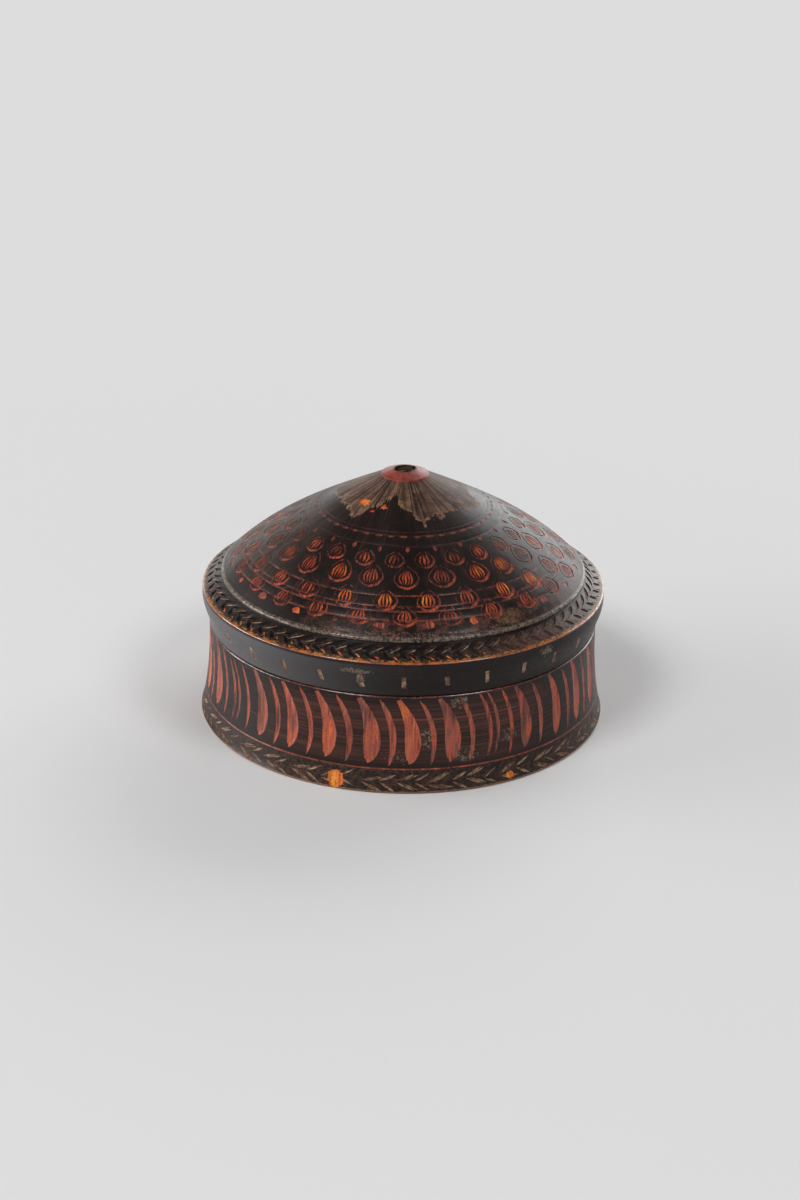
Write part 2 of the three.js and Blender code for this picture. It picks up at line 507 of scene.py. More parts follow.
STEPS_ROUND = 240  # flat faces round a turned solid
WAVERS_PER_MM = 0.45  # how closely the waver of a hand-drawn cut changes along it
WELD_DISTANCE = 0.0005 * MM
CREASE_ANGLE = math.radians(28)  # the least bend of an outline that stays a sharp edge
CUT_EDGE_ANGLE = math.radians(35)  # the same for the edges of the cuts
FACES_AT_ONCE = 4000  # how many are matched to the outline in one go, to spare memory
RUBBED_WALL = rgb(92, 54, 46)
BAND_GRIME = rgb(116, 90, 74)
WORN_FOOT = rgb(142, 104, 84)
TAN_DUST = rgb(146, 132, 116)
INSIDE_RED = rgb(96, 40, 28)
INSIDE_BROWN = rgb(66, 32, 25)
INSIDE_RINGS = rgb(40, 24, 20)
WOOD_PALE = rgb(112, 84, 62)
WOOD_DARK = rgb(74, 54, 42)
WOOD_RINGS = rgb(52, 38, 31)
DIRT_DARK = rgb(98, 64, 52)
DIRT_PALE = rgb(174, 144, 118)
DIRT_WORN = rgb(84, 64, 54)

OUTSIDE, INSIDE, BARE = range(3)  # the number of each finish of a turned solid


def new_tree(name, inputs):
    """An empty Geometry Nodes tree with named inputs, its wiring, its inputs and output.
    The inputs are pairs of a name and a kind."""
    tree = bpy.data.node_groups.new(name, "GeometryNodeTree")
    tree.interface.new_socket("Geometry", in_out="OUTPUT", socket_type="NodeSocketGeometry")
    tree.interface.new_socket("Geometry", in_out="INPUT", socket_type="NodeSocketGeometry")
    for label, kind in inputs:
        tree.interface.new_socket(label, in_out="INPUT", socket_type="NodeSocket" + kind)
    w = Wiring(tree)
    return tree, w, w.node("NodeGroupInput").outputs, w.node("NodeGroupOutput").inputs


def stored_number(w, name):
    """A whole number that a mesh holds for each of its points or faces."""
    return w.fed("GeometryNodeInputNamedAttribute", {"Name": name}, data_type="INT")[0]


def spin_outline_tree():
    """Spins an outline of points, which starts and ends on the axis, into a closed mesh.
    The outline's finish attribute says which of the three materials each band has."""
    tree, w, source, result = new_tree("spin_outline", [
        ("Steps", "Int"), ("Finish 0", "Material"), ("Finish 1", "Material"), ("Finish 2", "Material"),
    ])
    outline = source["Geometry"]
    size = w.fed("GeometryNodeAttributeDomainSize", {"Geometry": outline}, component="MESH")
    points = size["Point Count"]
    columns = w.plus(source["Steps"], 1)
    grid = w.fed("GeometryNodeMeshGrid", {"Vertices X": columns, "Vertices Y": points})["Mesh"]
    index = w.node("GeometryNodeInputIndex").outputs[0]

    finish = w.fed("GeometryNodeSampleIndex", {
        "Geometry": outline, "Value": stored_number(w, "finish"),
        "Index": w.calc("FLOORED_MODULO", index, w.minus(points, 1)),
    }, data_type="INT")[0]
    grid = w.fed("GeometryNodeStoreNamedAttribute", {
        "Geometry": grid, "Name": "band_finish", "Value": finish,
    }, data_type="INT", domain="FACE")[0]

    place = w.fed("GeometryNodeSampleIndex", {
        "Geometry": outline, "Value": w.node("GeometryNodeInputPosition").outputs[0],
        "Index": w.calc("FLOORED_MODULO", index, points),
    }, data_type="FLOAT_VECTOR")[0]
    radius, _, height = w.split(place)
    step = w.calc("FLOOR", w.over(w.plus(index, 0.5), points))
    angle = w.times(w.over(step, source["Steps"]), 2 * math.pi)
    across = w.times(radius, w.calc("SINE", angle))
    back = w.times(radius, -1.0, w.calc("COSINE", angle))
    spun = w.fed("GeometryNodeSetPosition", {
        "Geometry": grid, "Position": w.vector(across, back, height),
    })[0]
    solid = w.fed("GeometryNodeMergeByDistance", {"Geometry": spun, "Distance": WELD_DISTANCE})[0]
    band = stored_number(w, "band_finish")
    for number in range(3):
        solid = w.fed("GeometryNodeSetMaterial", {
            "Geometry": solid, "Selection": w.calc("COMPARE", band, float(number), 0.1),
            "Material": source[f"Finish {number}"],
        })[0]
    w.feed(result["Geometry"], solid)
    return tree


def wrap_ornament_tree():
    """Repeats flat ornaments round the box, each kind in turn, and wraps them on a guide
    outline. In the flat, x runs round the box at Radius, y along the guide, and z stands
    off the surface."""
    tree, w, source, result = new_tree("wrap_ornament", [
        ("Guide", "Object"), ("Material", "Material"), ("Count", "Int"), ("First Angle", "Float"),
        ("Along", "Float"), ("Radius", "Float"), ("Lean Spread", "Float"), ("Size Spread", "Float"),
        ("Drift", "Float"), ("Wobble", "Float"), ("Seed", "Int"),
    ])
    index = w.node("GeometryNodeInputIndex").outputs[0]

    def chance(spread, offset, middle=0.0):
        """A random number for each copy, within spread of the middle."""
        node = w.node("FunctionNodeRandomValue", data_type="FLOAT")
        w.feed(node.inputs[2], w.minus(middle, spread))
        w.feed(node.inputs[3], w.plus(middle, spread))
        w.feed(node.inputs["ID"], index)
        w.feed(node.inputs["Seed"], w.plus(source["Seed"], offset))
        return node.outputs[1]

    pitch = w.over(2 * math.pi, source["Count"])
    angle = w.calc("MULTIPLY_ADD", index, pitch, source["First Angle"])
    across = w.calc("MULTIPLY_ADD", angle, source["Radius"], chance(source["Drift"], 1))
    along = w.plus(source["Along"], chance(w.times(source["Drift"], 0.4), 2))
    points = w.fed("GeometryNodePoints", {
        "Count": source["Count"], "Position": w.vector(across, along, 0.0),
    })[0]
    kinds = w.fed("GeometryNodeSplitToInstances", {
        "Geometry": source["Geometry"], "Group ID": stored_number(w, "kind"),
    }, domain="FACE")["Instances"]
    wide, tall = chance(source["Size Spread"], 4, 1.0), chance(source["Size Spread"], 5, 1.0)
    repeated = w.fed("GeometryNodeInstanceOnPoints", {
        "Points": points, "Instance": kinds, "Pick Instance": True, "Instance Index": index,
        "Rotation": w.vector(0.0, 0.0, chance(source["Lean Spread"], 3)),
        "Scale": w.vector(wide, tall, 1.0),
    })[0]
    real = w.fed("GeometryNodeRealizeInstances", {"Geometry": repeated})[0]

    flat = w.node("GeometryNodeInputPosition").outputs[0]
    waver = w.fed("ShaderNodeTexNoise", {
        "Vector": flat, "W": source["Seed"], "Scale": WAVERS_PER_MM / MM,
    }, noise_dimensions="4D")["Color"]
    shift_x, shift_y, _ = w.split(waver)
    x, y, z = w.split(flat)
    x = w.calc("MULTIPLY_ADD", w.minus(shift_x, 0.5), source["Wobble"], x)
    y = w.calc("MULTIPLY_ADD", w.minus(shift_y, 0.5), source["Wobble"], y)
    guide = w.fed("GeometryNodeObjectInfo", {"Object": source["Guide"]})["Geometry"]
    on_guide = w.fed("GeometryNodeSampleCurve", {"Curves": guide, "Length": y}, mode="LENGTH")
    radius, _, height = w.split(on_guide["Position"])
    outward, _, rise = w.split(on_guide["Tangent"])
    radius = w.calc("MULTIPLY_ADD", rise, z, radius)
    height = w.calc("MULTIPLY_ADD", w.times(outward, -1.0), z, height)
    angle = w.over(x, source["Radius"])
    side = w.times(radius, w.calc("SINE", angle))
    back = w.times(radius, -1.0, w.calc("COSINE", angle))
    wrapped = w.fed("GeometryNodeSetPosition", {
        "Geometry": real, "Position": w.vector(side, back, height),
    })[0]
    painted = w.fed("GeometryNodeSetMaterial", {
        "Geometry": wrapped, "Material": source["Material"],
    })[0]
    w.feed(result["Geometry"], painted)
    return tree


spin_outline = spin_outline_tree()
wrap_ornament = wrap_ornament_tree()


def run_tree(thing, tree, **inputs):
    """Puts a tree on an object as a modifier, with its inputs set by socket identifier."""
    modifier = thing.modifiers.new(tree.name, "NODES")
    modifier.node_group = tree
    sockets = [item for item in tree.interface.items_tree if item.in_out == "INPUT"]
    identifiers = {item.name: item.identifier for item in sockets}
    for name, value in inputs.items():
        modifier[identifiers[name.replace("_", " ")]] = value


def settle(thing):
    """Replaces an object's mesh by what its modifiers make, and removes them."""
    graph = bpy.context.evaluated_depsgraph_get()
    graph.update()
    mesh = bpy.data.meshes.new_from_object(thing.evaluated_get(graph))
    thing.modifiers.clear()
    thing.data = mesh


def turned(name, outline, materials):
    """A closed turned solid. The outline is a list of (radius, height, finish) in metres,
    and finish is the number of the material from that point to the next."""
    mesh = bpy.data.meshes.new(name)
    edges = [(i, i + 1) for i in range(len(outline) - 1)]
    mesh.from_pydata([(r, 0, z) for r, z, _ in outline], edges, [])
    finish = mesh.attributes.new("finish", "INT", "POINT")
    finish.data.foreach_set("value", [f for _, _, f in outline])
    solid = new_object(name, mesh)
    outside, inside, bare = materials
    run_tree(solid, spin_outline, Steps=STEPS_ROUND, Finish_0=outside, Finish_1=inside, Finish_2=bare)
    settle(solid)
    return solid


def guide_line(points):
    """A curve in the XZ plane that ornaments are wrapped on."""
    curve = bpy.data.curves.new("guide", "CURVE")
    curve.dimensions = "3D"
    spline = curve.splines.new("POLY")
    spline.points.add(len(points) - 1)
    for point, (r, z) in zip(spline.points, points):
        point.co = (r, 0, z, 1)
    return new_object("guide", curve)


def way_along(points, arrived):
    """Distance along a guide to the first point for which arrived(radius, height) is true."""
    way = 0.0
    for (r, z), (next_r, next_z) in zip(points, points[1:]):
        if arrived(r, z):
            break
        way += math.hypot(next_r - r, next_z - z)
    return way


class Cuts:
    """Flat ornaments made of graver's cuts, as the solids that are taken out of the box."""

    STAND_OFF = 0.3 * MM  # how far a cut's solid stands above the surface
    POINT_WIDTH = 0.06 * MM  # width of a cut at its two ends

    def __init__(self):
        self.vertices = []
        self.faces = []
        self.depths = []
        self.kinds = []
        self.kind = 0

    def cut(self, path, width, deep, tone, swell=None):
        """A groove along (x, y) points. Swell gives its share of the full width, and tone
        the colour that it reaches, both along the path from 0 to 1."""
        swell = swell or (lambda t: math.sin(math.pi * t) ** 0.7)
        first = len(self.vertices)
        last = len(path) - 1
        for i, (x, y) in enumerate(path):
            t = i / last
            ahead = Vector(path[min(i + 1, last)]) - Vector(path[max(i - 1, 0)])
            side = Vector((ahead.y, -ahead.x)).normalized()
            share = max(swell(t), 0.0)
            half = (width * share + self.POINT_WIDTH) / 2
            bottom = -deep * (0.25 + 0.75 * share)
            section = ((-1.3, self.STAND_OFF), (-0.45, bottom), (0.45, bottom), (1.3, self.STAND_OFF))
            for reach, z in section:
                self.vertices.append((x + side.x * half * reach, y + side.y * half * reach, z))
            self.depths += [tone(t)] * 4
        for i in range(last):
            a = first + 4 * i
            for k in range(4):
                self.faces.append((a + k, a + k + 4, a + (k + 1) % 4 + 4, a + (k + 1) % 4))
        self.faces.append((first, first + 1, first + 2, first + 3))
        end = first + 4 * last
        self.faces.append((end + 3, end + 2, end + 1, end))
        self.kinds += [self.kind] * (4 * last + 2)

    def patch(self, outline, deep, tone):
        """A flat-bottomed hollow inside an outline of (x, y) points, anticlockwise."""
        first = len(self.vertices)
        count = len(outline)
        for z in (self.STAND_OFF, -deep):
            self.vertices += [(x, y, z) for x, y in outline]
        self.depths += [tone] * (2 * count)
        self.faces.append(tuple(first + i for i in range(count)))
        self.faces.append(tuple(first + count + i for i in reversed(range(count))))
        for i in range(count):
            j = (i + 1) % count
            self.faces.append((first + j, first + i, first + count + i, first + count + j))
        self.kinds += [self.kind] * (count + 2)

    def next_kind(self):
        """What is drawn from now on is another version of the ornament."""
        self.kind += 1

    def wrap(self, name, guide, material, count, first, along, radius, **spreads):
        """The solids of these cuts, repeated round the box. The first is at an angle in
        degrees, and all of them lie so far along the guide."""
        mesh = bpy.data.meshes.new(name)
        mesh.from_pydata(self.vertices, [], self.faces)
        kind = mesh.attributes.new("kind", "INT", "FACE")
        kind.data.foreach_set("value", self.kinds)
        depth = mesh.attributes.new("depth", "FLOAT", "CORNER")
        depth.data.foreach_set("value", [self.depths[loop.vertex_index] for loop in mesh.loops])
        ornament = new_object(name, mesh)
        run_tree(
            ornament, wrap_ornament, Guide=guide, Material=material, Count=count,
            First_Angle=math.radians(first), Along=along, Radius=radius, **spreads,
        )
        settle(ornament)
        return ornament


def carve(solid, ornaments):
    """Cuts ornaments out of a turned solid, one after another."""
    for ornament in ornaments:
        modifier = solid.modifiers.new(ornament.name, "BOOLEAN")
        modifier.operation = "DIFFERENCE"
        modifier.solver = "MANIFOLD"
        modifier.material_mode = "TRANSFER"
        modifier.object = ornament
    settle(solid)
    for ornament in ornaments:
        bpy.data.objects.remove(ornament)


def read_all(items, name, width, kind=float):
    """One property of every item of a mesh, as an array."""
    values = np.zeros(len(items) * width, kind)
    items.foreach_get(name, values)
    return values.reshape(-1, width) if width > 1 else values


def smooth_turning(solid, outline, materials):
    """Gives what the carving left of the turned surface the normals of the outline, so that
    it shines as one smooth turning, and keeps the cuts crisp."""
    mesh = solid.data
    mesh.set_sharp_from_angle(angle=CUT_EDGE_ANGLE)
    points = np.array([(r, z) for r, z, _ in outline])
    legs = np.diff(points, axis=0)
    squares = (legs ** 2).sum(1)
    out = np.stack([legs[:, 1], -legs[:, 0]], 1) / np.sqrt(squares)[:, None]
    start, end = out.copy(), out.copy()
    bend = np.arccos(np.clip((out[1:] * out[:-1]).sum(1), -1, 1))
    for i in np.nonzero(bend < CREASE_ANGLE)[0]:
        joined = (out[i] + out[i + 1]) / np.linalg.norm(out[i] + out[i + 1])
        end[i], start[i + 1] = joined, joined

    middles = read_all(mesh.polygons, "center", 3)
    flat = np.stack([np.hypot(middles[:, 0], middles[:, 1]), middles[:, 2]], 1)
    leg_of_face = np.zeros(len(flat), int)
    for low in range(0, len(flat), FACES_AT_ONCE):
        part = flat[low:low + FACES_AT_ONCE, None]
        share = np.clip(((part - points[:-1]) * legs).sum(2) / squares, 0, 1)
        gap = part - (points[:-1] + share[..., None] * legs)
        leg_of_face[low:low + FACES_AT_ONCE] = (gap ** 2).sum(2).argmin(1)

    face = np.repeat(np.arange(len(flat)), read_all(mesh.polygons, "loop_total", 1, int))
    leg = leg_of_face[face]
    at = read_all(mesh.vertices, "co", 3)[read_all(mesh.loops, "vertex_index", 1, int)]
    radius = np.hypot(at[:, 0], at[:, 1])
    here = np.stack([radius, at[:, 2]], 1)
    share = np.clip(((here - points[leg]) * legs[leg]).sum(1) / squares[leg], 0, 1)[:, None]
    blend = start[leg] * (1 - share) + end[leg] * share
    blend /= np.linalg.norm(blend, axis=1, keepdims=True)
    on_axis = radius < 0.01 * MM
    side = np.where(on_axis, middles[face, 0], at[:, 0])
    back = np.where(on_axis, middles[face, 1], at[:, 1])
    angle = np.arctan2(side, -back)
    smooth = np.stack([blend[:, 0] * np.sin(angle), -blend[:, 0] * np.cos(angle), blend[:, 1]], 1)
    turned_slots = [i for i, material in enumerate(mesh.materials) if material in materials]
    turned_faces = np.isin(read_all(mesh.polygons, "material_index", 1, int), turned_slots)
    normals = read_all(mesh.corner_normals, "vector", 3)
    normals = np.where(turned_faces[face][:, None], smooth, normals)
    mesh.normals_split_custom_set(normals.tolist())


def stretch(start, end, steps):
    """Evenly spaced numbers from start to end."""
    return [start + (end - start) * i / steps for i in range(steps + 1)]


def arc(centre, radius, start, end, steps):
    """Points of an arc in the outline's plane, with angles in degrees from outwards to up."""
    r, z = centre
    angles = [math.radians(a) for a in stretch(start, end, steps)]
    return [(r + radius * math.cos(a), z + radius * math.sin(a)) for a in angles]


def scored(values, lines, width):
    """Places along an outline with three more for each turned line, as pairs of the place
    and the share of the line's depth there."""
    marked = [(v, 0.0) for v in values if all(abs(v - line) > width for line in lines)]
    for line in lines:
        marked += [(line - width / 2, 0.0), (line, 1.0), (line + width / 2, 0.0)]
    return sorted(marked, reverse=values[0] > values[-1])


def wall_radius(z):
    down = (SHOULDER - z) / SHOULDER
    return WAIST_RADIUS + (FOOT_RADIUS - WAIST_RADIUS) * max(down, 0.0) ** WALL_FLARE


def base_outline():
    bore = LIP_OUTER - LIP_THICKNESS
    lip_round = LIP_THICKNESS / 2
    recess = [(0, RECESS_DEPTH), (RECESS_RADIUS - RECESS_DEPTH, RECESS_DEPTH), (RECESS_RADIUS, 0)]
    foot = arc((FOOT_RADIUS - FOOT_ROUND, FOOT_ROUND), FOOT_ROUND, -90, 0, 6)
    heights = scored(stretch(2 * FOOT_ROUND, SHOULDER - EDGE_ROUND, 22), [BAND_LINE], LINE_WIDTH)
    wall = [(wall_radius(z) - LINE_DEPTH * share, z) for z, share in heights]
    shoulder = arc((WAIST_RADIUS - EDGE_ROUND, SHOULDER - EDGE_ROUND), EDGE_ROUND, 10, 90, 5)
    lip_crown = arc((LIP_OUTER - lip_round, LIP_TOP - lip_round), lip_round, 0, 180, 10)
    cove = arc((bore - COVE_RADIUS, FLOOR_TOP + COVE_RADIUS), COVE_RADIUS, 0, -90, 10)
    dish = [(r * MM, FLOOR_TOP) for r in (40, 25, 12, 4, 0)]
    outline = [(r, z, BARE) for r, z in recess]
    outline += [(r, z, OUTSIDE) for r, z in foot + wall + shoulder]
    outline += [(r, z, INSIDE) for r, z in [(LIP_OUTER, SHOULDER)] + lip_crown + cove + dish]
    return outline


def scuff_marks(w, places, broken):
    """Where scuffs lie, from the angle, the height, the width and the tallness of each."""
    return w.most(*[
        w.group(spot_mark, Angle=angle, Height=height, Wide=wide, Tall=tall, Broken=broken)["Mask"]
        for angle, height, wide, tall in places
    ])


def base_lac():
    """Black over red, rubbed through at the shoulder and the foot, and dusty in places."""
    material, w, shader = lac_material("base_lac_outside")
    spot = w.group(place_on_box)
    height, angle = spot["Height"], spot["Angle"]
    rubbed = w.times(w.near(height, 21.0, 8.0, 5.0), w.near(angle, 2.0, 30.0, 20.0))
    lac = w.group(black_lac, Rubbed=w.times(rubbed, 0.35))
    colour, roughness = lac["Colour"], lac["Roughness"]
    rubbed = w.times(rubbed, w.patches(spot["Rings"], 1.5, 5.0, 0.7, 0.42, 0.62))
    colour = w.colour(w.times(rubbed, 0.6), colour, RUBBED_WALL)

    turning = w.noise(spot["Rings"], 1.6, 3.0, 0.7)
    patchy = w.patches(spot["Place"], 0.1, 3.0, 0.6, 0.45, 0.6)
    faint_lines = w.times(w.near(turning, 0.62, 0.012, 0.02), patchy)
    colour = w.colour(w.times(faint_lines, 0.7), colour, DULL_RED)

    # Two faint red rings that cross the strokes in front, and the red line over the foot.
    crossing = w.times(w.near(height, 25.6, 0.35, 0.4), w.near(angle, 15.0, 17.0, 8.0))
    lower = w.times(w.near(height, 23.4, 0.2, 0.3), w.near(angle, -14.0, 9.0, 6.0))
    broken_up = w.patches(spot["Rings"], 1.2, 4.0, 0.7, 0.4, 0.55)
    crossing = w.times(w.most(crossing, lower), broken_up)
    colour = w.colour(w.times(crossing, 0.75), colour, DULL_RED)

    broken = w.patches(spot["Place"], 0.5, 4.0, 0.7, 0.34, 0.46)
    line = w.times(w.near(height, BAND_LINE / MM, 0.2, 0.12), broken)
    colour = w.colour(line, colour, w.group(red_lac, Depth=0.35, Streaks=0.3)["Colour"])

    in_band = w.ramp(height, BAND_LINE / MM - 0.6, BAND_LINE / MM - 0.2, 1.0, 0.0)
    grime = w.times(in_band, w.patches(spot["Place"], 0.8, 5.0, 0.75, 0.42, 0.66))
    colour = w.colour(w.times(grime, 0.32), colour, BAND_GRIME)
    roughness = w.level(grime, roughness, 0.65)

    # The edges of the shoulder and the foot, and scuffs with dust in them.
    shoulder = w.group(
        worn_edge, Edge_Radius=WAIST_RADIUS / MM - 0.1, Edge_Height=SHOULDER / MM,
        Width=0.4, Raggedness=0.8,
    )["Mask"]
    colour = w.colour(shoulder, colour, w.group(red_lac, Depth=0.15, Streaks=0.4)["Colour"])
    foot = w.group(
        worn_edge, Edge_Radius=FOOT_RADIUS / MM - 0.2, Edge_Height=0.2, Width=0.8, Raggedness=1.2,
    )["Mask"]
    colour = w.colour(foot, colour, WORN_FOOT)

    places = (16.5, 30.8, 7, 5), (0, 12.5, 9, 5), (18, 12, 8, 5), (7, 19, 5, 7), (32, 16.7, 6, 5)
    scuffed = scuff_marks(w, places, 1.4)
    amount = w.calc("MULTIPLY_ADD", scuffed, 0.95, w.calc("MULTIPLY_ADD", in_band, 0.4, 0.34))
    dusty = w.group(dust, Amount=amount)["Mask"]
    colour = w.colour(w.times(dusty, 0.6), colour, TAN_DUST)
    roughness = w.level(dusty, roughness, 0.8)
    gloss = w.minus(0.05, w.times(w.most(grime, dusty), 0.05))
    gloss = w.most(gloss, w.times(shoulder, broken, 0.6))
    roughness = w.level(shoulder, roughness, 0.3)
    finish_lac(w, shader, colour, roughness, lac["Relief"], 0.03 * MM, gloss)
    return material


def inside_lac(name):
    """The plain red-brown lac of the inside, with the rings of the turning tool."""
    material, w, shader = lac_material(name)
    spot = w.group(place_on_box)
    rings = w.noise(spot["Rings"], 1.1, 4.0, 0.7)
    mottle = w.noise(spot["Place"], 0.15, 5.0, 0.65)
    colour = w.colour(w.ramp(mottle, 0.35, 0.7), INSIDE_RED, INSIDE_BROWN)
    colour = w.colour(w.times(w.ramp(rings, 0.55, 0.7), 0.5), colour, INSIDE_RINGS)
    dusty = w.group(dust, Amount=0.3)["Mask"]
    colour = w.colour(w.times(dusty, 0.5), colour, GREY_DUST)
    finish_lac(w, shader, colour, w.ramp(mottle, 0.3, 0.7, 0.4, 0.6), rings, 0.08 * MM)
    return material


def bare_wood(name):
    """Bare turned wood: grey-brown, with grain, tool rings and rubbed-in dirt."""
    material, w, shader = lac_material(name)
    spot = w.group(place_on_box)
    x, y, z = w.split(spot["Place"])
    grain = w.noise(w.vector(w.times(x, 0.08), y, z), 0.9, 5.0, 0.65)
    rings = w.noise(spot["Rings"], 1.4, 3.0, 0.7)
    colour = w.colour(w.ramp(grain, 0.35, 0.65), WOOD_PALE, WOOD_DARK)
    colour = w.colour(w.times(w.ramp(rings, 0.5, 0.7), 0.5), colour, WOOD_RINGS)
    relief = w.calc("MULTIPLY_ADD", grain, 0.4, rings)
    finish_lac(w, shader, colour, w.ramp(grain, 0.3, 0.7, 0.65, 0.8), relief, 0.1 * MM)
    return material


def wall_strokes():
    """Pairs of strokes on the wall: a wide crescent and a thin one beside it. Now and then
    the wide one is two cuts with black left between them."""
    low, high = 10.4 * MM, 33.3 * MM
    cuts = Cuts()

    def bow(offset, lower):
        """A path up the wall that swings right at its belly and left at its head."""
        points = []
        for t in stretch(0, 1, 16):
            swing = (1 - t) ** 2 * -0.4 + 2 * t * (1 - t) * 3.4 + t * t * -3.8
            points.append(((offset + swing) * MM, low + lower * MM + (high - low - lower * MM) * t))
        return points

    def broad_swell(t):
        if t < 0.35:
            return (1 - (1 - t / 0.35) ** 2) ** 0.5
        return 1 - 0.68 * ((t - 0.35) / 0.65) ** 1.5

    def thin_swell(t):
        return math.sin(math.pi * t) ** 0.4

    pairs = (  # the broad stroke's width and tone, and the thin one's width
        (6.2, 0.62, 2.2), (6.4, 0.42, 2.0), (0, 0.36, 1.8), (5.5, 0.38, 2.3),
        (5.0, 0.5, 2.2), (5.6, 0.52, 2.6), (6.7, 0.48, 2.7), (5.5, 0.46, 2.2),
    )
    for broad, tone, thin in pairs:
        if broad:
            cuts.cut(bow(0, 0), broad * MM, 0.25 * MM, lambda t: tone * (1.1 - 0.25 * t), broad_swell)
        else:
            cuts.cut(bow(-1.4, 0), 1.9 * MM, 0.22 * MM, lambda t: tone, thin_swell)
            cuts.cut(bow(1.5, 1), 1.5 * MM, 0.22 * MM, lambda t: tone, thin_swell)
        cuts.cut(bow(6.9, -0.6), thin * MM, 0.2 * MM, lambda t: 0.42, thin_swell)
        cuts.next_kind()
    return cuts


def foot_leaves():
    """Two rows of thin slanting cuts, like an ear of wheat that lies round the foot."""
    cuts = Cuts()
    leaves = (6.4, 0.8, 1.7), (5.4, 0.65, 0), (6.8, 0.85, 1.5), (5.0, 0.9, 0)
    for length, width, gap in leaves:  # where there is a gap, a second cut lies beside it
        for rise, slope in ((5.6, 2.6), (2.6, -2.4)):
            for offset in (0, gap) if gap else (0,):
                path = [
                    ((t * length + offset) * MM, (rise + t * slope) * MM)
                    for t in stretch(-0.5, 0.5, 5)
                ]
                cuts.cut(path, (width - 0.2 * bool(offset)) * MM, 0.3 * MM, lambda t: 0.5 - 0.3 * t)
        cuts.next_kind()
    return cuts


def dirt_filled(name, packed_from=0.5, worn=None):
    """A cut with pale rubbed-in dirt on red lac, black where it is packed deep."""
    material, w, shader = lac_material(name)
    spot = w.group(place_on_box)
    patches = w.patches(spot["Place"], 0.5, 5.0, 0.7, 0.36, 0.64)
    colour = w.colour(patches, DIRT_DARK, DIRT_PALE)
    packed = w.ramp(w.noise(spot["Place"], 1.6, 4.0, 0.7), packed_from, packed_from + 0.12)
    colour = w.colour(w.times(packed, 0.8), colour, BLACK_LAC)
    if worn:
        colour = w.colour(w.times(w.group(worn)["Mask"], 0.85), colour, DIRT_WORN)
    finish_lac(w, shader, colour, 0.6, packed, 0.05 * MM)
    return material


def flaked_spot(wide, tall, seed, tone=0.95, torn=0.84):
    """A place with a torn edge where the lac has flaked off, down to the yellow under it."""
    draw = random.Random(seed)
    outline = []
    count = 22
    for i in range(count):
        angle = 2 * math.pi * i / count
        reach = 0.5 * draw.uniform(torn, 1.06)
        outline.append((wide * reach * math.cos(angle), tall * reach * math.sin(angle)))
    cuts = Cuts()
    cuts.patch(outline, FLAKE_DEPTH, tone)
    return cuts


base_finishes = (base_lac(), inside_lac("base_inside_lac"), bare_wood("underside_wood"))
stroke_lac = cut_lac("stroke_lac", 0.13, 1.0, faded=0.34)
foot_leaf_lac = dirt_filled("foot_leaf_lac", 0.56)
flaked_lac = cut_lac("flaked_lac", 0.0, 1.0)

base_line = base_outline()
base = turned("base_turning", base_line, base_finishes)
wall_guide = guide_line([(wall_radius(z), z) for z in stretch(0, SHOULDER, 60)])
base_cuts = [
    wall_strokes().wrap(
        "wall_strokes", wall_guide, stroke_lac, STROKE_PAIRS, 2.6, 0.0, 68.0 * MM,
        Lean_Spread=math.radians(1.2), Size_Spread=0.02, Drift=0.5 * MM, Wobble=0.7 * MM, Seed=3,
    ),
    foot_leaves().wrap(
        "foot_leaves", wall_guide, foot_leaf_lac, FOOT_LEAVES_ROUND, 1.0, 0.0, 70.0 * MM,
        Lean_Spread=math.radians(7), Size_Spread=0.1, Drift=0.9 * MM, Wobble=0.8 * MM, Seed=5,
    ),
]
for angle, height, wide, tall in ((-17.7, 3.6, 6.0, 6.6), (31.3, 2.6, 3.0, 2.6), (148, 3.2, 5.0, 3.6)):
    flake = flaked_spot(wide * MM, tall * MM, seed=round(angle) + 200)
    base_cuts.append(flake.wrap(
        "foot_flake", wall_guide, flaked_lac, 1, angle, height * MM, 70.0 * MM, Wobble=0.4 * MM,
    ))
carve(base, base_cuts)
smooth_turning(base, base_line, base_finishes)
bpy.data.objects.remove(wall_guide)
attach(base, "base_body")
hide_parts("base")


# Lid. One turning that drops over the lip: an upright side, a sloping rim carved like an
# ear of wheat, a bead, and a dome cut with rows of pointed ovals. The crown round the
# boss is worn to a brown star, and the boss at the top is still red.
LID_BOTTOM = lid_low.z
BOSS_TOP = lid_high.z
RIM_RADIUS = lid_high.x
SIDE_TOP = LID_BOTTOM + 10 * MM
RIM_EDGE = SIDE_TOP + 2.8 * MM
RIM_INNER = RIM_EDGE + 3.4 * MM
MOUTH_RADIUS = LIP_OUTER + 0.35 * MM
MOUTH_TOP = LIP_TOP + SEAT_GAP
DOME_RADIUS = 62.7 * MM
DOME_FOOT = RIM_INNER + 2.2 * MM
DOME_SLOPE = 0.505
DOME_ROUNDING = 6.1 * MM  # how much the rounding at its foot lifts the whole dome
BEAD_RADIUS = 1 * MM
LID_THICKNESS = 4.6 * MM
HOLLOW_FLAT_RADIUS = 12 * MM
BOSS_RADIUS = 8.2 * MM
BOSS_STEP = 0.35 * MM
BOSS_EDGE_ROUND = 0.25 * MM
BOSS_TOP_RADIUS = 3.9 * MM
BORE_RADIUS = 2.8 * MM
BORE_DEPTH = 6.2 * MM
CROWN_LINES = (28.4 * MM, 29.8 * MM, 33.8 * MM)
OVAL_LINES = (51.0 * MM, 54.3 * MM, 55.7 * MM, 58.2 * MM)
OVALS_ROUND = 24
RIM_LEAVES_ROUND = 72
SIDE_DASHES_ROUND = 31
CROWN_DASHES_ROUND = 44
STAR_REACH = 27 * MM  # radius of the tips of the worn star
PETAL_SPACING = 58.7  # degrees from one tip of the star to the next
